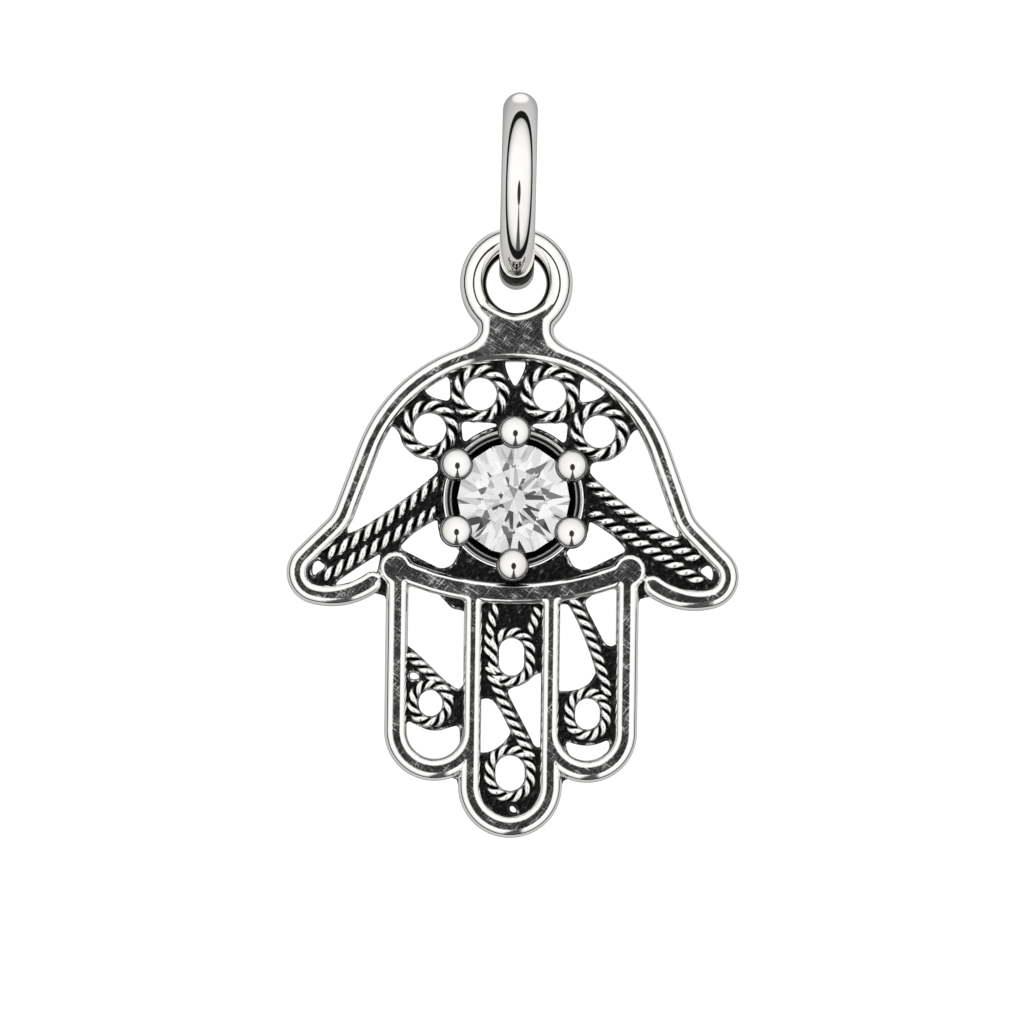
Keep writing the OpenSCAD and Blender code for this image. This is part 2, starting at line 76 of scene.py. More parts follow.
# Setting and stone
SETTING_RISE = 0.13
PRONG_CIRCLE, PRONGS, BALL_D, POST_D = 1.38, 6, 0.63, 0.28
GALLERY_OD, GALLERY_WALL, GALLERY_RISE = 2.86, 0.15, 0.05
LEDGE_W, LEDGE_T, SEAT_GAP = 0.3, 0.25, 0.03
STONE_D, TABLE_D, CROWN_H, GIRDLE_T, PAVILION_H = 2.34, 1.29, 0.36, 0.07, 1.03
GIRDLE_RISE, STONE_GAP = 0.12, 0.02

# Roundings of the cast edges: outside, towards the holes, in the fingers, on the cuff and on the eye
ROUND_OUT, ROUND_IN, ROUND_FINGER, ROUND_CUFF, ROUND_EYE = 0.195, 0.175, 0.16, 0.11, 0.29
# How far the rounded strips swell past the plain solids
INNER_SWELL, FINGER_SWELL = 0.065, 0.035
# Length over which the eye's round form fades into the flat neck
NECK_FADE = 0.35
# Distance from the middle within which hooks have smaller roundings, and length of the change
HOOK_REACH, HOOK_FADE = 4.1, 0.9
# Fillets between the shares of the frame's parts
HEAD_BLEND, FINGER_BLEND, CUFF_BLEND, NECK_BLEND, EYE_BLEND = 0.6, 0.7, 0.3, 2.6, 0.25
# Rounding of the edges of the back, and distance between the points along an edge
FRAME_BACK_ROUND, FRAME_STEP = 0.06, 0.045
WEB_ROUND, WEB_STEP = 0.07, 0.05
# Fillets of the web: in its openings, along the wires of the palm and of the fingers, and in the notches
OPENING_FILLET, PALM_FILLET, FINGER_FILLET, NOTCH_FILLET = 0.04, 0.06, 0.04, 0.03
# Share of the rounding of the eye's hole that is black, and small rounding of the other edges
BORE_BLACK, SMALL_EDGE = 0.3, 0.02
# Largest share of a side that a corner's rounding takes, and its steps
CORNER_SHARE, CORNER_STEPS = 0.45, 4
# Levels of a share at which a rounding has a line of vertices
LEVELS = [0, 0.01, 0.035, 0.08, 0.14, 0.22, 0.32, 0.44, 0.58, 0.78, 1.0]
# Degrees between the points of arcs and of bowed wires
ARC_STEP, BOW_STEP = 4, 2

# Twisted wire: length of a lobe in diameters, its steps, sides of a strand and its fullness
LOBE_PITCH, LOBE_STEPS, STRAND_SIDES, STRAND_FULL = 1.0, 9, 12, 1.04
# Length of the wire's round ends in diameters, and the share of a strand's radius at their tips
END_ROUND, END_SHARE = 0.6, 0.05

# Tips of the prongs: swell, height of their front over their radius, angle where their painted shade turns
# black, width of the change, and how much darker the painted shade makes them towards it
TIP_SWELL, TIP_FLAT, TIP_PAINTED_SHADE_ANGLE, TIP_FADE, TIP_SHADE = 0.03, 0.6, 70, 12, 0.6
# Gallery wall: rounding of its top, its steps, angles between which it has a painted highlight, and the tint
# of its painted shade elsewhere
WALL_ROUND, WALL_STEPS, WALL_HIGHLIGHT, WALL_SHADE = 0.05, 8, (10, 66), 0.2
# Radius of a post's open core, angle from which edges of the setting are sharp, and lean of the jump ring
POST_CORE, CREASE, RING_LEAN = 0.001, 40, 0.6
# Steps round the gallery, a post, a ball, the jump ring and its wire
GALLERY_STEPS, POST_STEPS, BALL_STEPS, RING_STEPS, WIRE_STEPS = 128, 24, 48, 160, 56
# Stone: main facets, and share of the radius at which the lower halves of the pavilion meet
MAINS, LOWER_HALVES = 8, 0.24

# Colour of clean silver, and depths of relief
SILVER = (0.95, 0.94, 0.92)
FINE_RELIEF, PATINA_RELIEF = 0.01, 0.02

# Noises: scale per metre, detail and, where drawn out, [times, degrees from upright]
TARNISH_NOISE, POLISH_NOISE = (1400, 5), (9000, 2)
GRAIN_NOISE, STAIN_NOISE = (22000, 4), (2600, 6)
SCRATCH_NOISE, CROSS_NOISE = (24000, 3, (9, 38)), (26000, 3, (8, -57))
PATINA_NOISE, STRAND_NOISE, HAZE_NOISE = (9000, 5), (5000, 4), (3000, 2)

# Polished silver
SETTING_ROUGH, RING_ROUGH, POLISH_BUMP = 0.04, 0.03, 0.03
# Black where the setting's tint is 0: painted shade on the balls and the gallery's wall, and the ledge under
# the stone
POLISH_BLACK = (0.02, 0.02, 0.02, 1)
POLISH_STOPS = [(0.35, (0.87, 0.85, 0.82)), (0.6, SILVER)]

# Antiqued silver: strengths of its relief, share of the stain in the marks, lowest tint of a bright edge, and
# values along the tint, the marks and the flatness. The flats' greys are partly tarnish, partly painted dark
# reflection
FLAT_BUMP, EDGE_BUMP, STAIN_SHARE, EDGE_TINT = 0.55, 0.02, 0.5, 0.02
FLAT_STOPS = [(0.8, 0), (0.98, 1)]
EDGE_STOPS = [(0, 0.06), (EDGE_TINT, SILVER)]
MARK_TARNISH_AND_REFLECTION_STOPS = [(0.74, 0.08), (0.86, 0.24), (0.95, 0.9)]
ANTIQUE_ROUGH_STOPS = [(0, 0.07), (1, 0.16)]

# Blackened silver: finish, strength of its relief, extra wear at edges, and values along the wear
PATINA_ROUGH, PATINA_SPECULAR, PATINA_BUMP, EDGE_WEAR = 0.14, 0.35, 0.6, 0.22
PATINA_STOPS = [(0.6, 0.004), (0.68, 0.2), (0.74, 0.8)]
METAL_STOPS = [(0.6, 0), (0.66, 1)]

# Twisted wire: roughness, reach of its stain, and colours from the groove to the top
STRAND_ROUGH, STRAND_STAIN = 0.12, 0.25
STRAND_STOPS = [(0.69, 0.008), (0.82, 0.2), (0.91, SILVER)]

# Clear stone
STONE_COLOUR, STONE_IOR = (0.99, 0.99, 1, 1), 2.15
HAZE_STOPS = [(0.3, 0), (0.8, 0.02)]

# Floor
FLOOR_Z, FLOOR_REACH = -60, 1500
FLOOR_COLOUR, FLOOR_ROUGH = (0.9, 0.9, 0.9, 1), 0.8

# Tent and light behind: directions as azimuth and elevation, stops as degrees from the direction and grey
TENT_LIGHT = 1.08
TENT_AXIS = (5, 8)
TENT_STOPS = [(0, 1), (58, 0.97), (72, 0.8), (83, 0.5), (85, 0.01), (97, 0.01), (99, 0.62), (130, 0.52),
              (180, 0.3)]
BACK_AXIS = (0, 140)
BACK_STOPS = [(0, 0.95), (14, 0.9), (24, 0), (180, 0)]
# Dark lens and the slit below it, as shares of a unit direction, with greys from their middle out
LENS_X, LENS_Z, LENS_WIDTH, LENS_HEIGHT, LENS_BACK = 0.07, -0.08, 0.2, 0.27, -0.02
LENS_STOPS = [(0, 0.03), (0.85, 0.05), (1, 1)]
SLIT_X, SLIT_TOP, SLIT_WIDTH, SLIT_SPREAD, SLIT_POWER = 0.08, -0.05, 0.05, 0.3, 3
SLIT_STOPS = [(0.5, 0.08), (1, 1)]
# What rays inside the stone see: least grey of the lens, extra contrast, and patches
STONE_LENS, STONE_CONTRAST = 0.35, 1.2
PATCH_SCALE, PATCH_DETAIL, PATCH_STOPS = 3.5, 2, [(0.42, 0.62), (0.5, 1)]

# Camera, with its picture in pixels
PIXELS_PER_MM, PICTURE, SENSOR = 48, 1024, 36
DISTANCE, CLIP_START = 250, 10
CAMERA_RISE, CAMERA_ROLL = -1, 0.75
AIM = np.array([-0.03, -8.02])

RING_R = (RING_BORE + RING_WIRE) / 2
RING_MID = np.array([0, -RING_BORE / 2])
EYE_R = EYE_BORE / 2 + EYE_RIM
EYE_MID = np.array([0, RING_MID[1] - RING_R + RING_WIRE / 2 + HANG_GAP - EYE_BORE / 2])
PALM = np.array([0, EYE_MID[1] - EYE_R - FRAME_W / 2 + EYE_OVERLAP - ARCH_R])
SETTING_MID = PALM + [0, SETTING_RISE]
CUFF_Z = PALM[1] - CUFF_DROP
CUFF_MID = np.array([0, CUFF_Z + CUFF_R])
PITCH = (MIDDLE_HOLE + SIDE_HOLE) / 2 + FINGER_BAR
RIGHT_TIP = np.array([PITCH, CUFF_Z - SIDE_FINGER])

# Fingers: middle of the round tip, width of the hole and length
LEFT = (RIGHT_TIP * [-1, 1], SIDE_HOLE, SIDE_FINGER)
RIGHT = (RIGHT_TIP, SIDE_HOLE, SIDE_FINGER)
MIDDLE = (np.array([0, CUFF_Z - MIDDLE_FINGER]), MIDDLE_HOLE, MIDDLE_FINGER)

FRONT = FRAME_T / 2
WEB_FRONT = WEB_T - FRONT
GIRDLE_TOP = FRONT + GIRDLE_RISE
GIRDLE_LOW = GIRDLE_TOP - GIRDLE_T
FORWARD = np.array([0, -1.0, 0])


def direction(angle):
    """Unit [x, z] at an angle in degrees from the right."""
    a = math.radians(angle)
    return np.array([math.cos(a), math.sin(a)])


def arc(mid, r, start, end, step=ARC_STEP):
    """Points of an arc between two angles in degrees."""
    n = max(2, math.ceil(abs(end - start) / step))
    return [np.array(mid) + r * direction(start + (end - start) * i / n) for i in range(n + 1)]


def flip(points):
    """Points with left and right exchanged."""
    return [np.array([-p[0], p[1]]) for p in points]


def outline_half():
    """Right half of the outline, from the top of the arch to the hook, and the middles of its arcs."""
    at, angle = np.array([0, PALM[1] + ARCH_R]), 0.0
    rows = [(0, SIDE_LEAN - 90, ARCH_R), (SIDE_LEN, 0, 0), (0, THUMB_LEAN - SIDE_LEAN, BEND_R),
            (THUMB_LEN, 0, 0), (0, -TIP_TURN, TIP_R), (0, -HOOK_TURN, HOOK_R)]
    line, mids = [at], []
    for length, turn, r in rows:
        if turn == 0:
            at = at + length * direction(angle)
            line.append(at)
        else:
            side = math.copysign(1, turn)
            mid = at + r * side * direction(angle + 90)
            line += arc(mid, r, angle - 90 * side, angle - 90 * side + turn)[1:]
            mids.append(mid)
            at = line[-1]
            angle += turn
    return line, mids


def cuff_point(x):
    """Place on the middle line of the cuff."""
    return np.array([x, CUFF_MID[1] - math.sqrt(CUFF_R**2 - x * x)])


OUTLINE, (_, _, THUMB_TIP, _) = outline_half()
HOOK_END = OUTLINE[-1]
CUFF_END = CUFF_MID + CUFF_R * direction(CUFF_ANGLE - 90)

# Openings of the palm, right half, in shares of the arch's radius
PALM_OPENINGS = [
    [(0.416, 0.809), (0.411, 0.654), (0.528, 0.68), (0.584, 0.728), (0.487, 0.829)],
    [(0.34, 0.533), (0.117, 0.523), (0.112, 0.494), (0.325, 0.393)],
    [(0.782, 0.505), (0.731, 0.454), (0.71, 0.372), (0.619, 0.296), (0.489, 0.28), (0.482, 0.19),
     (0.579, 0.088), (0.721, -0.023), (0.853, -0.11), (0.974, -0.17), (1.06, -0.196), (0.964, 0.22),
     (0.863, 0.464)],
    [(0.482, -0.089), (0.477, -0.175), (0.412, -0.25), (0.33, -0.277), (0.386, -0.387), (0.457, -0.409),
     (0.726, -0.277), (0.619, -0.165), (0.528, -0.104)],
    [(1.27, -0.376), (1.215, -0.355), (1.185, -0.403), (1.225, -0.47), (1.275, -0.457)],
]
TOP_OPENING = [(-0.07, 0.925), (0.07, 0.925), (0.055, 0.85), (0, 0.745), (-0.055, 0.85)]
LEFT_SLOT = [(-1.127, -0.505), (-0.985, -0.404), (-0.837, -0.308), (-0.863, -0.45), (-1.035, -0.56),
             (-1.115, -0.56)]

# Openings of the fingers, in shares of half the hole and of the finger's length
LEFT_OPENINGS = [
    [(-1.05, 1.06), (0.05, 1.0), (0.35, 0.93), (0.55, 0.885), (1.05, 0.87), (1.05, 0.36), (0.85, 0.3),
     (0.65, 0.32), (-0.16, 0.445), (-0.69, 0.53), (-1.05, 0.61)],
    [(-0.88, 0.425), (-0.58, 0.41), (-0.54, 0.375), (-0.88, 0.368)],
    [(-0.97, 0.07), (-0.72, 0.05), (-0.3, 0.005), (0.15, -0.005), (0.6, 0.03), (0.85, 0.04), (0.9, -0.08),
     (0.55, -0.24), (-0.6, -0.24), (-1.05, -0.08)],
]
RIGHT_OPENINGS = [
    [(-1.05, 0.93), (-0.6, 0.93), (0.3, 0.55), (0.37, 0.47), (0.1, 0.36), (-0.4, 0.305), (-1.05, 0.3)],
    [(-0.13, 0.955), (0.4, 1.04), (0.8, 1.1), (1.05, 1.06), (1.05, 0.66), (0.85, 0.625), (0.6, 0.645),
     (-0.05, 0.9)],
    [(-0.74, -0.06), (-0.43, -0.085), (0.02, -0.1), (0.44, -0.08), (0.75, -0.048), (0.82, -0.096),
     (0.65, -0.18), (0.2, -0.225), (-0.3, -0.22), (-0.65, -0.15)],
]
MIDDLE_OPENINGS = [
    [(1.05, 0.59), (0.8, 0.585), (0.5, 0.535), (-0.15, 0.5), (0, 0.45), (0.64, 0.26), (0.8, 0.205),
     (1.05, 0.205)],
    [(-1.05, 0.45), (-0.65, 0.455), (0.05, 0.31), (-0.02, 0.265), (-0.3, 0.21), (-0.7, 0.175), (-1.05, 0.17)],
    [(0, -0.105), (0.15, -0.105), (0.26, -0.14), (0.02, -0.135)],
]

# Rings of twisted wire: places in the palm, and in the fingers place, radius and straight stretch
PALM_COILS = [(0.22, 0.707), (0.539, 0.478)]
LEFT_COILS = [((-0.15, 0.2), 0.625, 0.08)]
RIGHT_COILS = [((0.02, 0.135), 0.645, 0.21)]
MIDDLE_COILS = [((0, 0.672), 0.614, 0.41), ((0, 0.066), 0.682, 0.2)]
# Open twisted wires in the fingers: start, end and bow as a share of their length
LEFT_TAILS = [((-1.03, 0.57), (0.6, 0.218), 0.03)]
RIGHT_TAILS = [((-0.6, 0.985), (0.72, 0.255), 0.045)]
MIDDLE_TAILS = [((-0.5, 0.95), (-0.72, 0.66), -0.06), ((-0.78, 0.63), (0.74, 0.14), -0.02),
                ((0.82, 0.94), (0.56, 0.79), 0.05)]
# Wires to the thumbs: angle on the setting, end in shares of the tip's radius, and bow
THUMB_WIRES = [(15, (-0.28, 0.7), -0.03), (-8, (-0.14, -0.26), 0)]

FINGERS = [
    (LEFT, LEFT_OPENINGS, LEFT_COILS, LEFT_TAILS),
    (RIGHT, RIGHT_OPENINGS, RIGHT_COILS, RIGHT_TAILS),
    (MIDDLE, MIDDLE_OPENINGS, MIDDLE_COILS, MIDDLE_TAILS),
]


def in_palm(p):
    """Place in the palm, from shares of the arch's radius."""
    return PALM + ARCH_R * np.array(p)


def in_finger(finger, p):
    """Place in a finger, from shares of half its hole and of its length."""
    tip, hole, length = finger
    return tip + [p[0] * hole / 2, p[1] * length]


def palm_wires():
    """Start, end and bow of the wires to the thumbs."""
    wires = []
    for angle, end, bow in THUMB_WIRES:
        a = SETTING_MID + (GALLERY_OD + TWIST_D) / 2 * direction(angle)
        b = THUMB_TIP + TIP_R * np.array(end)
        wires += [(a, b, bow), (a * [-1, 1], b * [-1, 1], -bow)]
    return wires


def finger_ring(finger, coil):
    """Middle, radius and straight stretch of a ring of wire in a finger."""
    place, r, stretch = coil
    hole = finger[1]
    return in_finger(finger, place), r * hole / 2, stretch * hole / 2


PALM_WIRES = palm_wires()
PALM_RINGS = [(in_palm((side * x, z)), COIL_R, 0) for x, z in PALM_COILS for side in (-1, 1)]
FINGER_WIRES = [(in_finger(finger, start), in_finger(finger, end), bow)
                for finger, _, _, tails in FINGERS for start, end, bow in tails]
FINGER_RINGS = [finger_ring(finger, coil) for finger, _, coils, _ in FINGERS for coil in coils]


def wire_line(a, b, bow):
    """Points of a straight or bowed wire."""
    if bow == 0:
        return [a, b]
    chord = np.linalg.norm(b - a)
    half_turn = 2 * math.atan(2 * bow)
    r = chord / 2 / math.sin(half_turn)
    left = np.array([a[1] - b[1], b[0] - a[0]]) / chord
    mid = (a + b) / 2 - r * math.cos(half_turn) * left
    start = math.degrees(math.atan2(a[1] - mid[1], a[0] - mid[0]))
    return arc(mid, abs(r), start, start - 2 * math.degrees(half_turn), BOW_STEP)


def coil_line(mid, r, stretch):
    """Points of a closed ring with two straight sides."""
    up = np.array([0, stretch / 2])
    line = arc(mid + up, r, 0, 180) + arc(mid - up, r, 180, 360)
    return line[:-1] if stretch == 0 else line


# Fields of distance over a grid in the plane of the hand. A share is 0 at a plate's edge and 1 where flat.
CELL = 0.02
LOW = np.array([-4.95, -15.05])
HIGH = np.array([4.95, -1.95])
GX, GZ = np.meshgrid(np.arange(LOW[0], HIGH[0], CELL), np.arange(LOW[1], HIGH[1], CELL), indexing="ij")
FAR = 1000.0
TINY = 1e-12
# Fewest points of a closed line, and distance within which points of a plate are one
FEWEST_POINTS = 8
SAME_POINT = 1e-6


def segment_field(a, b):
    """Distance from a straight line between two places."""
    ab = b - a
    t = np.clip(((GX - a[0]) * ab[0] + (GZ - a[1]) * ab[1]) / max(ab @ ab, TINY), 0, 1)
    return np.hypot(GX - a[0] - t * ab[0], GZ - a[1] - t * ab[1])


def line_field(line):
    """Distance from a line of points."""
    field = np.full(GX.shape, FAR)
    points = np.array(line, float)
    for a, b in zip(points[:-1], points[1:]):
        field = np.minimum(field, segment_field(a, b))
    return field


def polygon_field(points):
    """Distance from a closed outline, negative inside it."""
    ring = np.array(points, float)
    inside = np.zeros(GX.shape, bool)
    for a, b in zip(ring, np.roll(ring, -1, axis=0)):
        crosses = (a[1] > GZ) != (b[1] > GZ)
        if a[1] != b[1]:
            inside ^= crosses & (GX < (b[0] - a[0]) * (GZ - a[1]) / (b[1] - a[1]) + a[0])
    return np.where(inside, -1, 1) * line_field(np.vstack([ring, ring[:1]]))


def round_field(mid, r):
    """Distance from a circle, negative inside it."""
    return np.hypot(GX - mid[0], GZ - mid[1]) - r


def box_field(low, high):
    """Distance from an upright box, negative inside it."""
    dx = np.maximum(low[0] - GX, GX - high[0])
    dz = np.maximum(low[1] - GZ, GZ - high[1])
    return np.minimum(np.maximum(dx, dz), 0) + np.hypot(np.maximum(dx, 0), np.maximum(dz, 0))


def meet(a, b, blend):
    """Union of two fields, with a fillet of about that size where they meet."""
    h = np.clip(0.5 + 0.5 * (b - a) / blend, 0, 1)
    return b * (1 - h) + a * h - blend * h * (1 - h)


def cut(a, b, blend):
    """Field a with b taken away, the edges eased by that size."""
    return -meet(-a, b, blend)


def join_shares(a, b, blend):
    """Larger of two shares, with a fillet where they meet."""
    return -meet(-a, -b, blend)


def ease(x):
    """Smooth step from 0 to 1."""
    t = np.clip(x, 0, 1)
    return t * t * (3 - 2 * t)


def sample(field, points):
    """Values of a field at [x, z] points, between its grid values."""
    p = (np.asarray(points) - LOW) / CELL
    i = np.clip(np.floor(p).astype(int), 0, np.array(field.shape) - 2)
    f = p - i
    i, j = i.T
    fx, fz = f.T
    return (field[i, j] * (1 - fx) * (1 - fz) + field[i + 1, j] * fx * (1 - fz)
            + field[i, j + 1] * (1 - fx) * fz + field[i + 1, j + 1] * fx * fz)


def edge_ends(edge):
    """Both ends of an edge of the grid, which is given as [axis, i, j]."""
    axis, i, j = edge
    return (i, j), ((i, j + 1) if axis else (i + 1, j))


def crossed_edges(up):
    """Edges of the grid whose ends differ, each with the next ones along a line."""
    links = {}
    count = up[:-1, :-1].astype(int) + up[1:, :-1] + up[1:, 1:] + up[:-1, 1:]
    for i, j in np.argwhere((count > 0) & (count < 4)):
        crossed = []
        for edge in ((0, i, j), (1, i + 1, j), (0, i, j + 1), (1, i, j)):
            a, b = edge_ends(edge)
            if up[a] != up[b]:
                crossed.append(edge)
        for a, b in zip(crossed[::2], crossed[1::2]):
            links.setdefault(a, []).append(b)
            links.setdefault(b, []).append(a)
    return links


def crossing(field, edge):
    """Place on an edge of the grid where a field is 0."""
    a, b = edge_ends(edge)
    t = field[a] / (field[a] - field[b])
    return LOW + CELL * (np.array(a) + t * np.subtract(b, a))


def contours(field, level):
    """Closed lines on which a field has some value."""
    above = field - level
    links = crossed_edges(above > 0)
    lines, seen = [], set()
    for first in links:
        line, at = [], None if first in seen else first
        while at is not None:
            seen.add(at)
            line.append(crossing(above, at))
            at = next((e for e in links[at] if e not in seen), None)
        if len(line) > FEWEST_POINTS:
            lines.append(np.array(line))
    return lines


def distances(points):
    """Distance of each point along the line through them."""
    return np.concatenate([[0], np.cumsum(np.linalg.norm(np.diff(points, axis=0), axis=1))])


def on_line(points, along, at):
    """Places at distances along a line."""
    return np.column_stack([np.interp(at, along, points[:, k]) for k in (0, 1)])


def spaced(line, step):
    """A closed line with its points set at even steps."""
    closed = np.vstack([line, line[:1]])
    along = distances(closed)
    n = max(FEWEST_POINTS, round(along[-1] / step))
    return on_line(closed, along, np.arange(n) * along[-1] / n)


def level_lines(share, step):
    """Points on the lines of each level of a share, their levels and the edges between them."""
    points, levels, edges = [], [], []
    for level in LEVELS:
        for line in contours(share, level):
            ring = spaced(line, step)
            start = len(points)
            points.extend(ring)
            levels.extend([level] * len(ring))
            edges += [(start + k, start + (k + 1) % len(ring)) for k in range(len(ring))]
    return points, levels, edges


def filled(share, step):
    """The positive side of a share as triangles: places, their shares, and corners."""
    points, levels, edges = level_lines(share, step)
    coords, _, tris, origin, _, _ = delaunay_2d_cdt([Vector(p) for p in points], edges, [], 0, SAME_POINT)
    flat = np.array([(c.x, c.y) for c in coords])
    at = np.array([levels[o[0]] if o else 1.0 for o in origin])
    tris = np.array([t for t in tris if len(t) == 3])
    tris = tris[sample(share, flat[tris].mean(axis=1)) > 0]
    a, b, c = (flat[tris[:, k]] for k in range(3))
    turn = (b[:, 0] - a[:, 0]) * (c[:, 1] - a[:, 1]) - (b[:, 1] - a[:, 1]) * (c[:, 0] - a[:, 0])
    tris[turn < 0] = tris[turn < 0][:, ::-1]
    return flat, at, tris


def both_sides(tris, n):
    """Faces of a plate: front triangles, the same n vertices on for the back, and the edge."""
    faces = [tuple(t) for t in tris] + [(t[2] + n, t[1] + n, t[0] + n) for t in tris]
    used = {(t[k], t[(k + 1) % 3]) for t in tris for k in range(3)}
    return faces + [(b, a, a + n, b + n) for a, b in used if (b, a) not in used]


def world(points, height):
    """Places at a height, as [x, y, z] in metres."""
    p = np.asarray(points)
    return np.column_stack([p[:, 0], -np.broadcast_to(height, len(p)), p[:, 1]]) * MM


def relief(share, round_h, top, back, back_r, step):
    """Closed plate on the positive side of a share, and its normals. round_h and top are fields too."""
    flat, at, tris = filled(share, step)
    r, h = sample(round_h, flat), sample(top, flat)
    lean = np.clip(1 - at, 0, 1)
    lean_back = np.clip(1 - at * r / back_r, 0, 1)
    front = world(flat, h - r * (1 - np.sqrt(1 - lean**2)))
    behind = world(flat, back_r * (1 - np.sqrt(1 - lean_back**2)) - back)
    out = np.column_stack([-sample(g, flat) for g in np.gradient(share, CELL)])
    out /= np.maximum(np.linalg.norm(out, axis=1), TINY)[:, None]
    normals = [np.column_stack([k * out[:, 0], side * np.sqrt(1 - k**2), k * out[:, 1]])
               for k, side in ((lean, -1), (lean_back, 1))]
    made = np.vstack([front, behind]), both_sides(tris, len(flat)), np.concatenate([at, at])
    return made, np.vstack(normals)


# Shares of the frame
def palm_outline():
    """Closed middle line of the frame round the palm."""
    half = OUTLINE + arc(CUFF_MID, CUFF_R, -90, -90 + CUFF_ANGLE)[::-1]
    return half + flip(half)[::-1]


def outline_share():
    """Share of the outline's strip, with smaller roundings on the hooks."""
    away = line_field(flip(OUTLINE)[::-1] + OUTLINE[1:])
    hooks = ease((HOOK_REACH - np.abs(GX)) / HOOK_FADE) * (GZ < CUFF_END[1])
    round_in = ROUND_IN * (1 - hooks) + ROUND_CUFF * hooks
    round_out = ROUND_OUT * (1 - hooks) + ROUND_FINGER * hooks
    inner = (FRAME_W / 2 + INNER_SWELL - away) / round_in
    outer = (FRAME_W / 2 - away) / round_out
    return np.where(polygon_field(palm_outline()) < 0, inner, outer)


def cuff_share():
    """Share of the cuff's bar and its two round heads."""
    away = line_field(arc(CUFF_MID, CUFF_R, -90 - CUFF_ANGLE, -90 + CUFF_ANGLE))
    share = (CUFF_W / 2 - away) / ROUND_CUFF
    for side in (-1, 1):
        head = -round_field(CUFF_END * [side, 1], CUFF_HEAD / 2) / ROUND_CUFF
        share = join_shares(share, head, HEAD_BLEND)
    return share


def outside_fingers(margin):
    """Distance out of the three fingers, each wider by a margin."""
    field = np.full(GX.shape, FAR)
    for tip, hole, _ in (LEFT, RIGHT, MIDDLE):
        sides = np.abs(GX - tip[0])
        field = np.minimum(field, np.hypot(sides, np.minimum(GZ - tip[1], 0)) - hole / 2 - margin)
    return field


def finger_share():
    """Share of the fingers' strips, below the middle of the cuff."""
    outer = -outside_fingers(FINGER_W + FINGER_SWELL) / ROUND_OUT
    inner = (outside_fingers(0) + FINGER_SWELL / 2) / ROUND_FINGER
    above = GZ - CUFF_MID[1] + np.sqrt(np.maximum(CUFF_R**2 - GX**2, 0))
    return np.where(above > 0, -1, np.minimum(outer, inner))


def frame_share():
    """Share of the whole frame: outline, cuff, fingers, neck and eye."""
    share = join_shares(cuff_share(), finger_share(), FINGER_BLEND)
    share = join_shares(outline_share(), share, CUFF_BLEND)
    neck = box_field((-NECK_W / 2, PALM[1] + ARCH_R), (NECK_W / 2, EYE_MID[1] - EYE_R / 2))
    share = join_shares(share, -neck / ROUND_OUT, NECK_BLEND)
    out = round_field(EYE_MID, 0)
    share = join_shares(share, (EYE_R - out) / ROUND_EYE, EYE_BLEND)
    low = ease((EYE_MID[1] - NECK_FADE - GZ) / NECK_FADE)
    bore_round = ROUND_EYE * (1 - low) + ROUND_IN * low
    return np.minimum(share, (out - EYE_BORE / 2) / bore_round)


# Fields of the web
def rounded(points, r):
    """Closed outline with its corners rounded."""
    ring, out = np.array(points, float), []
    for before, p, after in zip(np.roll(ring, 1, axis=0), ring, np.roll(ring, -1, axis=0)):
        a, b = (p + to / np.linalg.norm(to) * min(r, np.linalg.norm(to) * CORNER_SHARE)
                for to in (before - p, after - p))
        for t in np.linspace(0, 1, CORNER_STEPS + 1):
            out.append((a * (1 - t) + p * t) * (1 - t) + (p * (1 - t) + b * t) * t)
    return out


def finger_web(finger, openings, coils):
    """Distance out of the pierced web inside one finger."""
    tip, hole, _ = finger
    r = (hole + FINGER_BAR) / 2
    field = polygon_field([cuff_point(tip[0] + r * k) for k in (1, 0, -1)] + arc(tip, r, 180, 360))
    for opening in openings:
        edge = rounded([in_finger(finger, p) for p in opening], OPENING_CORNER)
        field = cut(field, polygon_field(edge), OPENING_FILLET)
    for coil in coils:
        mid, ring_r, stretch = finger_ring(finger, coil)
        inner_r = ring_r - FINGER_TWIST_D / 2 - RIB_EDGE
        field = np.maximum(field, -polygon_field(coil_line(mid, inner_r, stretch)))
    return field


def notch_web(side):
    """Distance out of the webs beside the middle finger and behind the hook."""
    tip = RIGHT[0]
    out = MIDDLE_HOLE / 2 + FINGER_W
    under = tip[1] - SIDE_HOLE / 2 - FINGER_W
    inner = [(out - FINGER_W / 2, tip[1]), (tip[0] - NOTCH_W, tip[1] - SIDE_HOLE / 2),
             (out + NOTCH_W, under + NOTCH_W / 4), (out + NOTCH_W / 4, under), (out, under - NOTCH_W),
             (out - FINGER_W / 2, under - NOTCH_W)]
    edge = tip[0] + SIDE_HOLE / 2 + FINGER_W
    low = HOOK_END[1] - FRAME_W / 2 - NOTCH_W
    outer = [HOOK_END + [NOTCH_W, 0], HOOK_END - [0, FRAME_W / 2],
             (edge + NOTCH_W / 4, low + NOTCH_W * 3 / 4), (edge, low), (edge - FINGER_W / 2, low),
             (edge - FINGER_W / 2, HOOK_END[1] + FRAME_W), HOOK_END + [0, FRAME_W / 4]]
    fields = [polygon_field([(side * x, z) for x, z in line]) for line in (inner, outer)]
    return np.minimum(*fields)


def palm_web():
    """Distance out of the palm's web, with a collar round the setting's seat."""
    field = polygon_field(palm_outline())
    holes = [[in_palm((side * x, z)) for x, z in opening] for opening in PALM_OPENINGS for side in (-1, 1)]
    holes += [[in_palm(p) for p in TOP_OPENING], [in_palm(p) for p in LEFT_SLOT]]
    for hole in holes:
        field = cut(field, polygon_field(rounded(hole, OPENING_CORNER)), OPENING_FILLET)
    seat = GALLERY_OD / 2 + SEAT_GAP
    field = np.minimum(field, round_field(SETTING_MID, seat + SEAT_COLLAR))
    rib = TWIST_D / 2 + RIB_EDGE
    for wire in PALM_WIRES:
        field = meet(field, line_field(wire_line(*wire)) - rib, PALM_FILLET)
    for mid, r, _ in PALM_RINGS:
        field = np.maximum(field, -round_field(mid, r - rib))
    return np.maximum(field, -round_field(SETTING_MID, seat))


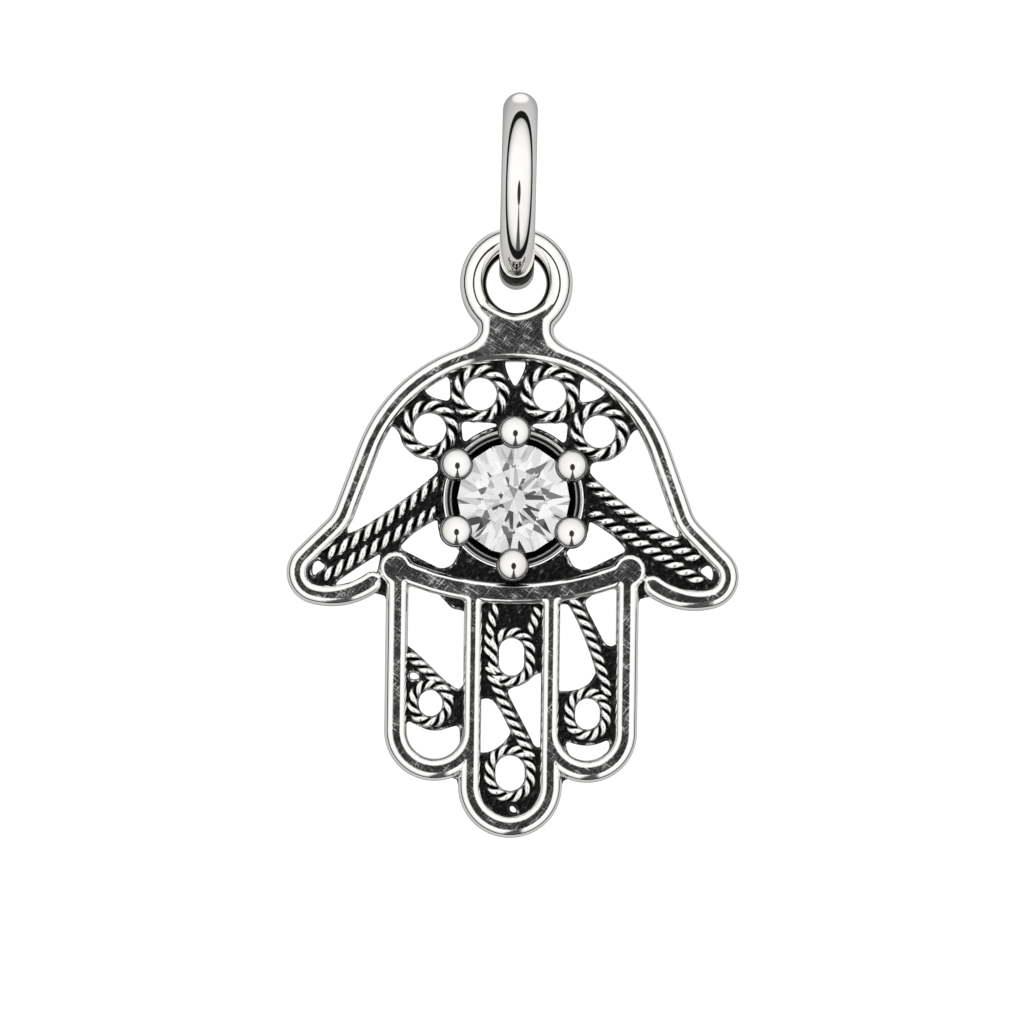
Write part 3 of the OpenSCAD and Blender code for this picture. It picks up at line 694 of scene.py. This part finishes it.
def web_field():
    """Distance out of the whole pierced web, which ends under the frame."""
    field = palm_web()
    for finger, openings, coils, _ in FINGERS:
        field = np.minimum(field, finger_web(finger, openings, coils))
    for wire in FINGER_WIRES:
        field = meet(field, line_field(wire_line(*wire)) - FINGER_TWIST_D / 2 - RIB_EDGE, FINGER_FILLET)
    for side in (-1, 1):
        field = meet(field, notch_web(side), NOTCH_FILLET)
    return field


# Turned and wound shapes, each as vertices, faces and tint
def full_turn(n):
    """Even steps of a full turn, in radians."""
    return 2 * math.pi * np.arange(n) / n


def joined(parts):
    """Several parts as one."""
    faces, start = [], 0
    for vertices, part, _ in parts:
        faces += [[i + start for i in face] for face in part]
        start += len(vertices)
    return np.vstack([v for v, _, _ in parts]), faces, np.concatenate([t for _, _, t in parts])


def tube(n, m, closed, start=0):
    """Faces between n rings of m vertices, and from the last ring to the first where closed."""
    faces = []
    for i in range(n if closed else n - 1):
        for j in range(m):
            a, b = start + i * m + j, start + i * m + (j + 1) % m
            step = m if i < n - 1 else -i * m
            faces.append((a, b, b + step, a + step))
    return faces


def turned_over(faces):
    """Four-sided faces that look the other way."""
    return [(a, d, c, b) for a, b, c, d in faces]


def wire_axes(path, closed):
    """Unit directions along and across a wire at each point."""
    ahead = np.roll(path, -1, axis=0) - np.roll(path, 1, axis=0)
    if not closed:
        ahead[0], ahead[-1] = path[1] - path[0], path[-1] - path[-2]
    ahead /= np.linalg.norm(ahead, axis=1)[:, None]
    level = np.zeros(len(path))
    along = np.column_stack([ahead[:, 0], level, ahead[:, 1]])
    return along, np.column_stack([-ahead[:, 1], level, ahead[:, 0]])


def strand_rings(axes, d, begin, thin):
    """Rings of one strand about the wire's middle, wound from an angle and thin times as wide."""
    tangent, across = axes
    offset = d / 4
    turn = (begin - math.pi * np.arange(len(thin)) / LOBE_STEPS)[:, None]
    away = np.cos(turn) * across + np.sin(turn) * FORWARD
    spin = np.sin(turn) * across - np.cos(turn) * FORWARD
    along = tangent + math.pi * offset / (d * LOBE_PITCH) * spin
    along /= np.linalg.norm(along, axis=1)[:, None]
    side = np.cross(along, away)
    k = full_turn(STRAND_SIDES)[None, :, None]
    ring = np.cos(k) * away[:, None] + np.sin(k) * side[:, None]
    return offset * away[:, None] + (offset * STRAND_FULL * thin)[:, None, None] * ring


def twisted(line, d, closed):
    """Two strands wound round each other, d across both. The tint is 0 in the groove and 1 on top."""
    points = np.vstack(line + line[:1] if closed else line)
    along = distances(points)
    length, pitch = along[-1], d * LOBE_PITCH
    if closed:
        n = 2 * max(1, round(length / pitch / 2)) * LOBE_STEPS
        thin = np.ones(n)
    else:
        n = max(2, round(length / pitch)) * LOBE_STEPS + 1
        to_end = np.minimum(np.arange(n), np.arange(n)[::-1]) * length / n
        ending = np.clip(to_end / (d * END_ROUND), 0, 1)
        thin = np.maximum(np.sqrt(1 - (1 - ending) ** 2), END_SHARE)
    path = on_line(points, along, np.linspace(0, length, n, endpoint=not closed))
    middle = np.column_stack([path[:, 0], np.full(n, d / 2 + TWIST_DROP - FRONT), path[:, 1]])
    faces = tube(n, STRAND_SIDES, closed)
    if not closed:
        first = list(range(STRAND_SIDES))
        faces += [first[::-1], [(n - 1) * STRAND_SIDES + j for j in first]]
    strands = []
    for begin in (0, math.pi):
        rings = strand_rings(wire_axes(path, closed), d, begin, thin)
        tint = np.linalg.norm(rings, axis=2) / (d / 4 + d / 4 * STRAND_FULL)
        strands.append(((middle[:, None] + rings).reshape(-1, 3) * MM, faces, tint.ravel()))
    return joined(strands)


def revolved(profile, mid, n):
    """A closed profile of [radius, height, tint] turned about the Y axis through a middle."""
    turn = full_turn(n)
    r, h, tint = np.array(profile, float).T
    x = mid[0] + np.outer(np.cos(turn), r)
    z = mid[1] + np.outer(np.sin(turn), r)
    y = np.broadcast_to(-h, x.shape)
    vertices = np.column_stack([x.ravel(), y.ravel(), z.ravel()]) * MM
    return vertices, turned_over(tube(n, len(r), True)), np.tile(tint, n)


def ball(mid, h, r):
    """Ball at a height with a flatter front, and painted shade that darkens it towards its rim and is black
    from near its widest ring back.
    """
    n = BALL_STEPS
    angles = [2 * math.pi * k / n for k in range(1, n // 2)]
    vertices = [(mid[0], -(h - r), mid[1])]
    for a in angles:
        y = r * math.cos(a) * (1 if a < math.pi / 2 else TIP_FLAT) - h
        ring_r = r * math.sin(a)
        vertices += [(mid[0] + ring_r * math.cos(t), y, mid[1] + ring_r * math.sin(t)) for t in full_turn(n)]
    vertices.append((mid[0], -(h + r * TIP_FLAT), mid[1]))
    from_front = 180 - np.degrees(angles)
    # Painted shade: darker away from the front, and black from near the widest ring back
    shade = 1 - TIP_SHADE * (from_front / 90) ** 2
    shade *= ease((TIP_PAINTED_SHADE_ANGLE + TIP_FADE / 2 - from_front) / TIP_FADE)
    last = len(vertices) - 1
    faces = [(0, 1 + i, 1 + (i + 1) % n) for i in range(n)]
    faces += turned_over(tube(len(angles), n, False, 1))
    faces += [(last, last - n + (i + 1) % n, last - n + i) for i in range(n)]
    return np.array(vertices) * MM, faces, np.concatenate([[0], np.repeat(shade, n), [1]])


def wall_top(outer, inner, h, r):
    """Profile of the top of a wall with both its corners rounded, with a painted highlight on the shoulders
    of the roundings and painted shade elsewhere.
    """
    turns = [math.pi / 2 * k / WALL_STEPS for k in range(WALL_STEPS + 1)]
    # Painted highlight between two angles of the rounding, painted shade on its top and its side
    highlight_and_shade = [1 if WALL_HIGHLIGHT[0] < math.degrees(a) < WALL_HIGHLIGHT[1] else WALL_SHADE for a in turns]
    low = h - r
    out = [(outer - r + r * math.cos(a), low + r * math.sin(a), k) for a, k in zip(turns, highlight_and_shade)]
    back = [(inner + r - r * math.sin(a), low + r * math.cos(a), k) for a, k in zip(turns, highlight_and_shade[::-1])]
    return out + back


def gallery():
    """Gallery ring of the setting, with the ledge under the stone."""
    outer = GALLERY_OD / 2
    inner = outer - GALLERY_WALL
    slant = PAVILION_H / (STONE_D / 2)
    ledge_r = outer - LEDGE_W
    ledge_top = GIRDLE_LOW - (STONE_D / 2 - ledge_r) * slant - STONE_GAP * math.hypot(1, slant)
    profile = [(outer, SMALL_EDGE - FRONT, 1), (outer - SMALL_EDGE, -FRONT, 1),
               (inner + SMALL_EDGE, -FRONT, 1), (inner, SMALL_EDGE - FRONT, 1),
               (inner, ledge_top - LEDGE_T, 1), (ledge_r, ledge_top - LEDGE_T, 1),
               (ledge_r, ledge_top, 0), (inner, ledge_top, 0)]
    top = wall_top(outer, inner, FRONT + GALLERY_RISE, WALL_ROUND)
    return revolved(profile + top[::-1], SETTING_MID, GALLERY_STEPS)


def prongs():
    """Posts and ball tips, the balls a gap away from the stone's crown."""
    run = (STONE_D - TABLE_D) / 2
    over_edge = (PRONG_CIRCLE - STONE_D / 2) * CROWN_H
    ball_h = GIRDLE_TOP + ((BALL_D / 2 + STONE_GAP) * math.hypot(run, CROWN_H) - over_edge) / run
    foot = WEB_FRONT + SEAT_GAP
    post = [(POST_CORE, ball_h, 0), (POST_D / 2, ball_h, 0), (POST_D / 2, foot, 0), (POST_CORE, foot, 0)]
    parts = []
    for i in range(PRONGS):
        at = SETTING_MID + PRONG_CIRCLE * direction(90 + 360 * i / PRONGS)
        parts.append(revolved(post, at, POST_STEPS))
        parts.append(ball(at, ball_h, BALL_D / 2 + TIP_SWELL))
    return parts


def ring_of_wire():
    """Torus about the X axis that leans to the right, bright all over."""
    turn, k = full_turn(RING_STEPS), full_turn(WIRE_STEPS)
    r = RING_R + RING_WIRE / 2 * np.cos(k)
    y, up = -np.outer(np.cos(turn), r), np.outer(np.sin(turn), r)
    x = RING_WIRE / 2 * np.sin(k) + math.tan(math.radians(RING_LEAN)) * (up + RING_R)
    z = RING_MID[1] + up
    vertices = np.column_stack([x.ravel(), y.ravel(), z.ravel()]) * MM
    return vertices, tube(RING_STEPS, WIRE_STEPS, True), np.ones(len(vertices))


def brilliant():
    """Round brilliant: table, stars, kites, upper and lower halves, mains and a faceted girdle."""
    r, table_r = STONE_D / 2, TABLE_D / 2
    break_r = (r + table_r) / 2
    break_h = CROWN_H * (r - break_r) / (r - table_r)
    halves_r = LOWER_HALVES * r
    culet_h = GIRDLE_LOW - PAVILION_H
    halves_h = culet_h + halves_r * math.cos(math.pi / MAINS) * PAVILION_H / r
    rings = [
        (2 * MAINS, r, 0, GIRDLE_LOW),
        (2 * MAINS, r, 0, GIRDLE_TOP),
        (MAINS, break_r, 180 / MAINS, GIRDLE_TOP + break_h),
        (MAINS, table_r, 0, GIRDLE_TOP + CROWN_H),
        (MAINS, halves_r, 180 / MAINS, halves_h),
    ]
    points = [(*(at_r * direction(begin + 360 / n * i)), h) for n, at_r, begin, h in rings for i in range(n)]
    points.append((0, 0, culet_h))
    low, edge, bend, rim, half, culet = np.cumsum([0] + [ring[0] for ring in rings])
    faces = [[rim + i for i in range(MAINS)]]
    for i in range(MAINS):
        after, before, far = (i + 1) % MAINS, (i - 1) % MAINS, (2 * i + 2) % (2 * MAINS)
        faces += [
            [rim + i, bend + i, rim + after],
            [rim + i, bend + before, edge + 2 * i, bend + i],
            [bend + i, edge + 2 * i, edge + 2 * i + 1],
            [bend + i, edge + 2 * i + 1, edge + far],
            [culet, half + i, low + 2 * i, half + before],
            [half + i, low + 2 * i + 1, low + 2 * i],
            [half + i, low + far, low + 2 * i + 1],
            [edge + 2 * i, low + 2 * i, low + 2 * i + 1, edge + 2 * i + 1],
            [edge + 2 * i + 1, low + 2 * i + 1, low + far, edge + far],
        ]
    vertices = [(SETTING_MID[0] + x, -h, SETTING_MID[1] + z) for x, z, h in points]
    return np.array(vertices) * MM, faces, None


# Materials
class Graph:
    """Nodes of a material or of the world."""

    def __init__(self, owner):
        owner.use_nodes = True
        self.owner = owner
        self.nodes = owner.node_tree.nodes
        self.links = owner.node_tree.links

    def fill(self, node, inputs):
        """Give a node's inputs constants or outputs of other nodes."""
        for key, value in inputs.items():
            if isinstance(value, bpy.types.NodeSocket):
                self.links.new(value, node.inputs[key])
            else:
                node.inputs[key].default_value = value

    def new(self, kind, inputs):
        """A node with what goes into its inputs."""
        node = self.nodes.new("ShaderNode" + kind)
        self.fill(node, inputs)
        return node

    def shade(self, inputs):
        """The material, with what goes into its shader."""
        self.fill(self.nodes["Principled BSDF"], inputs)
        return self.owner

    def math(self, operation, *values, kind="Math"):
        """Number made from one or more numbers, or vectors with the kind VectorMath."""
        node = self.new(kind, dict(enumerate(values)))
        node.operation = operation
        return node.outputs["Value"]

    def noise(self, scale, detail, stretch=None, vector=None):
        """Noise along a vector or in the object's own metres, drawn out by [times, degrees from upright]."""
        vector = vector or self.new("TexCoord", {}).outputs["Object"]
        if stretch:
            size, turn = (1, 1, stretch[0]), (0, math.radians(stretch[1]), 0)
            mapping = self.new("Mapping", {"Vector": vector, "Scale": size, "Rotation": turn})
            mapping.vector_type = "TEXTURE"
            vector = mapping.outputs["Vector"]
        return self.new("TexNoise", {"Vector": vector, "Scale": scale, "Detail": detail}).outputs["Fac"]

    def ramp(self, value, stops):
        """Colours along a value, as [position, colour] with the colour a grey or three shares."""
        node = self.new("ValToRGB", {"Fac": value})
        elements = node.color_ramp.elements
        while len(elements) < len(stops):
            elements.new(0.5)
        for element, (position, colour) in zip(elements, stops):
            element.position = position
            element.color = (*colour, 1) if isinstance(colour, tuple) else (colour, colour, colour, 1)
        return node.outputs["Color"]

    def mix(self, factor, a, b):
        """Colour between two others."""
        node = self.new("Mix", {})
        node.data_type = "RGBA"
        self.fill(node, {"Factor": factor, "A": a, "B": b})
        return node.outputs["Result"]

    def tint(self):
        """The number that each vertex carries."""
        node = self.new("Attribute", {})
        node.attribute_name = "tint"
        return node.outputs["Fac"]

    def bump(self, height, strength, depth):
        """Normal of a surface with a relief of some depth."""
        inputs = {"Height": height, "Strength": strength, "Distance": depth * MM}
        return self.new("Bump", inputs).outputs["Normal"]


def polished_silver(name, rough):
    """Polished silver with a faint uneven tarnish, black where its tint is 0; on the setting the tint holds
    painted shade and a painted highlight.
    """
    graph = Graph(bpy.data.materials.new(name))
    silver = graph.ramp(graph.noise(*TARNISH_NOISE), POLISH_STOPS)
    colour = graph.mix(graph.tint(), POLISH_BLACK, silver)
    normal = graph.bump(graph.noise(*POLISH_NOISE), POLISH_BUMP, FINE_RELIEF)
    return graph.shade({"Metallic": 1, "Roughness": rough, "Base Color": colour, "Normal": normal})


def antiqued_silver_with_painted_reflection():
    """Cast silver: bright round edges, and flats with scratches, pits and a grey that is partly tarnish and
    partly a painted dark reflection.
    """
    graph = Graph(bpy.data.materials.new("antiqued_silver_with_painted_reflection"))
    flat = graph.ramp(graph.tint(), FLAT_STOPS)
    scratches = graph.math("MAXIMUM", graph.noise(*SCRATCH_NOISE), graph.noise(*CROSS_NOISE))
    height = graph.math("ADD", graph.noise(*GRAIN_NOISE), scratches)
    strength = graph.math("MULTIPLY_ADD", flat, FLAT_BUMP, EDGE_BUMP)
    normal = graph.bump(height, strength, FINE_RELIEF)
    marks = graph.math("MULTIPLY_ADD", graph.noise(*STAIN_NOISE), STAIN_SHARE, scratches)
    # Grey of the flats: partly tarnish and scratches, partly a painted dark reflection
    worn = graph.ramp(marks, MARK_TARNISH_AND_REFLECTION_STOPS)
    colour = graph.mix(flat, graph.ramp(graph.tint(), EDGE_STOPS), worn)
    rough = graph.ramp(flat, ANTIQUE_ROUGH_STOPS)
    return graph.shade({"Metallic": 1, "Roughness": rough, "Base Color": colour, "Normal": normal})


def blackened_silver():
    """Web in black patina, worn to metal in a few spots and along its edges."""
    graph = Graph(bpy.data.materials.new("blackened_silver"))
    spots = graph.noise(*PATINA_NOISE)
    wear = graph.math("MULTIPLY_ADD", graph.math("SUBTRACT", 1, graph.tint()), EDGE_WEAR, spots)
    colour, metal = graph.ramp(wear, PATINA_STOPS), graph.ramp(wear, METAL_STOPS)
    normal = graph.bump(spots, PATINA_BUMP, PATINA_RELIEF)
    finish = {"Roughness": PATINA_ROUGH, "Specular IOR Level": PATINA_SPECULAR}
    return graph.shade({**finish, "Metallic": metal, "Base Color": colour, "Normal": normal})


def strand_silver():
    """Twisted wire, bright on the strands and black in the grooves between them."""
    graph = Graph(bpy.data.materials.new("strand_silver"))
    tint = graph.math("ADD", graph.tint(), STRAND_STAIN / 2)
    level = graph.math("MULTIPLY_ADD", graph.noise(*STRAND_NOISE), -STRAND_STAIN, tint)
    colour = graph.ramp(level, STRAND_STOPS)
    return graph.shade({"Metallic": 1, "Roughness": STRAND_ROUGH, "Base Color": colour})


def clear_stone():
    """Clear stone with a faint haze on its polish."""
    graph = Graph(bpy.data.materials.new("clear_brilliant"))
    haze = graph.ramp(graph.noise(*HAZE_NOISE), HAZE_STOPS)
    finish = {"Base Color": STONE_COLOUR, "IOR": STONE_IOR, "Transmission Weight": 1}
    return graph.shade({**finish, "Roughness": haze})


# Pieces of the pendant
def make_mesh(name, made, body, material, nodes, normals=None, smooth=True, crease=None):
    """An object of vertices, faces and tint, riding on a body in the place of nodes."""
    vertices, faces, tint = made
    mesh = bpy.data.meshes.new(name)
    corners = [tuple(int(i) for i in f) for f in faces]
    mesh.from_pydata([tuple(v) for v in vertices], [], corners, shade_flat=not smooth)
    mesh.validate()
    if crease:
        mesh.set_sharp_from_angle(angle=math.radians(crease))
    if normals is not None:
        mesh.normals_split_custom_set_from_vertices([tuple(n) for n in normals])
    mesh.materials.append(material)
    if tint is not None:
        layer = mesh.attributes.new("tint", "FLOAT", "POINT")
        layer.data.foreach_set("value", np.asarray(tint, float))
    piece = bpy.data.objects.new(name, mesh)
    bpy.context.collection.objects.link(piece)
    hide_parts(*nodes)
    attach(piece, body)


def make_frame():
    """Cast frame, round and a little thinner at the eye, with black in the eye's hole."""
    eye = ease((GZ - EYE_MID[1] + 2 * NECK_FADE) / NECK_FADE)
    round_h = ROUND_IN + (ROUND_EYE - ROUND_IN) * eye
    top = FRONT + (EYE_T / 2 - FRONT) * eye
    made, normals = relief(frame_share(), round_h, top, FRONT, FRAME_BACK_ROUND, FRAME_STEP)
    vertices, faces, tint = made
    out = np.hypot(vertices[:, 0] / MM - EYE_MID[0], vertices[:, 2] / MM - EYE_MID[1])
    bore = (out < EYE_BORE / 2 + ROUND_EYE * BORE_BLACK) & (tint < BORE_BLACK)
    made = vertices, faces, np.where(bore, 0, np.maximum(tint, EDGE_TINT))
    make_mesh("cast_frame", made, "pendant", antiqued_silver_with_painted_reflection(), ["hand_frame"], normals)


def make_web():
    """Pierced web, a plate a little lower than the frame."""
    share = -web_field() / WEB_ROUND
    round_h, top = np.full(GX.shape, WEB_ROUND), np.full(GX.shape, WEB_FRONT)
    made, normals = relief(share, round_h, top, FRONT - SMALL_EDGE / 2, SMALL_EDGE, WEB_STEP)
    make_mesh("pierced_web", made, "pendant", blackened_silver(), ["hand_frame"], normals)


def make_wires():
    """All the twisted wires and rings of the palm and the fingers."""
    ropes = [twisted(wire_line(*wire), TWIST_D, False) for wire in PALM_WIRES]
    ropes += [twisted(wire_line(*wire), FINGER_TWIST_D, False) for wire in FINGER_WIRES]
    ropes += [twisted(coil_line(*ring), TWIST_D, True) for ring in PALM_RINGS]
    ropes += [twisted(coil_line(*ring), FINGER_TWIST_D, True) for ring in FINGER_RINGS]
    make_mesh("twisted_wires", joined(ropes), "pendant", strand_silver(), ["hand_frame"])


def make_setting():
    """Prong head: gallery, ledge, posts and ball tips."""
    made = joined([gallery()] + prongs())
    silver = polished_silver("polished_setting", SETTING_ROUGH)
    make_mesh("prong_head", made, "pendant", silver, ["stone_setting"], crease=CREASE)


def make_stone():
    """Brilliant with flat facets."""
    make_mesh("brilliant", brilliant(), "pendant", clear_stone(), ["stone"], smooth=False)


def make_ring():
    """Jump ring."""
    silver = polished_silver("polished_ring", RING_ROUGH)
    make_mesh("wire_ring", ring_of_wire(), "ring", silver, ["jump_ring"])


# Studio
def make_floor():
    """Pale floor far below, which reflections don't see."""
    mesh = bpy.data.meshes.new("floor")
    reach, z = FLOOR_REACH * MM, FLOOR_Z * MM
    corners = [(-reach, -reach, z), (reach, -reach, z), (reach, reach, z), (-reach, reach, z)]
    mesh.from_pydata(corners, [], [(0, 1, 2, 3)])
    graph = Graph(bpy.data.materials.new("pale_floor"))
    mesh.materials.append(graph.shade({"Base Color": FLOOR_COLOUR, "Roughness": FLOOR_ROUGH}))
    floor = bpy.data.objects.new("floor", mesh)
    floor.visible_glossy = False
    floor.visible_transmission = False
    bpy.context.collection.objects.link(floor)


def facing(azimuth, elevation):
    """Unit direction by azimuth, to the right of straight ahead, and elevation."""
    a, e = math.radians(azimuth), math.radians(elevation)
    return math.sin(a) * math.cos(e), -math.cos(a) * math.cos(e), math.sin(e)


def by_angle(graph, towards, axis, stops):
    """Grey by the angle from an axis, with stops of [degrees, grey]."""
    cosine = graph.math("DOT_PRODUCT", towards, facing(*axis), kind="VectorMath")
    share = graph.math("MULTIPLY_ADD", cosine, 0.5, 0.5)
    return graph.ramp(share, sorted(((math.cos(math.radians(angle)) + 1) / 2, grey) for angle, grey in stops))


def lens_and_slit(graph, towards):
    """Grey of the dark lens and of the slit in the tent below it, 1 outside them."""
    middle = (-LENS_X / LENS_WIDTH, 0, -LENS_Z / LENS_HEIGHT)
    size = (1 / LENS_WIDTH, 0, 1 / LENS_HEIGHT)
    place = graph.new("Mapping", {"Vector": towards, "Location": middle, "Scale": size}).outputs["Vector"]
    lens = graph.ramp(graph.math("LENGTH", place, kind="VectorMath"), LENS_STOPS)
    x, y, z = graph.new("SeparateXYZ", {"Vector": towards}).outputs
    low = graph.math("MAXIMUM", graph.math("MULTIPLY", z, -1), 0)
    width = graph.math("MULTIPLY_ADD", graph.math("POWER", low, SLIT_POWER), SLIT_SPREAD, SLIT_WIDTH)
    beside = graph.math("ABSOLUTE", graph.math("SUBTRACT", x, SLIT_X))
    slit = graph.ramp(graph.math("DIVIDE", beside, width), SLIT_STOPS)
    slit = graph.math("MAXIMUM", slit, graph.math("GREATER_THAN", z, SLIT_TOP))
    behind = graph.math("GREATER_THAN", y, LENS_BACK)
    return graph.math("MAXIMUM", graph.math("MINIMUM", lens, slit), behind)


def tent_grey(graph, towards, inside):
    """Grey of the tent, with more contrast and in patches for rays inside the stone."""
    tent = by_angle(graph, towards, TENT_AXIS, TENT_STOPS)
    back = by_angle(graph, towards, BACK_AXIS, BACK_STOPS)
    dark = lens_and_slit(graph, towards)
    dark = graph.math("MAXIMUM", dark, graph.math("MULTIPLY", inside, STONE_LENS))
    grey = graph.math("MINIMUM", graph.math("MAXIMUM", tent, back), dark)
    grey = graph.math("POWER", grey, graph.math("MULTIPLY_ADD", inside, STONE_CONTRAST, 1))
    patches = graph.ramp(graph.noise(PATCH_SCALE, PATCH_DETAIL, vector=towards), PATCH_STOPS)
    outside = graph.math("SUBTRACT", 1, inside)
    return graph.math("MULTIPLY", grey, graph.math("MAXIMUM", patches, outside))


def make_tent():
    """World for light and reflections: a white tent in front with the lens and its slit, open behind."""
    sky = bpy.data.worlds.new("tent")
    graph = Graph(sky)
    bpy.context.scene.world = sky
    towards = graph.new("TexCoord", {}).outputs["Generated"]
    rays = graph.new("LightPath", {}).outputs
    inside = graph.math("GREATER_THAN", rays["Transmission Depth"], 0.5)
    colour = graph.mix(rays["Is Camera Ray"], tent_grey(graph, towards, inside), (1, 1, 1, 1))
    graph.fill(graph.nodes["Background"], {"Color": colour, "Strength": TENT_LIGHT})


def make_camera():
    """Camera nearly straight on, a little from below."""
    data = bpy.data.cameras.new("camera")
    data.sensor_width = SENSOR
    data.lens = SENSOR * DISTANCE * PIXELS_PER_MM / PICTURE
    data.clip_start = CLIP_START * MM
    camera = bpy.data.objects.new("camera", data)
    rise = math.radians(CAMERA_RISE)
    target = Vector((AIM[0], 0, AIM[1])) * MM
    camera.location = target + Vector((0, -math.cos(rise), math.sin(rise))) * DISTANCE * MM
    look = (target - camera.location).to_track_quat("-Z", "Y").to_matrix().to_4x4()
    camera.rotation_euler = (look @ Matrix.Rotation(math.radians(CAMERA_ROLL), 4, "Z")).to_euler()
    bpy.context.collection.objects.link(camera)
    bpy.context.scene.camera = camera
    bpy.context.scene.view_settings.view_transform = "Standard"


make_frame()
make_web()
make_wires()
make_setting()
make_stone()
make_ring()
make_floor()
make_tent()
make_camera()
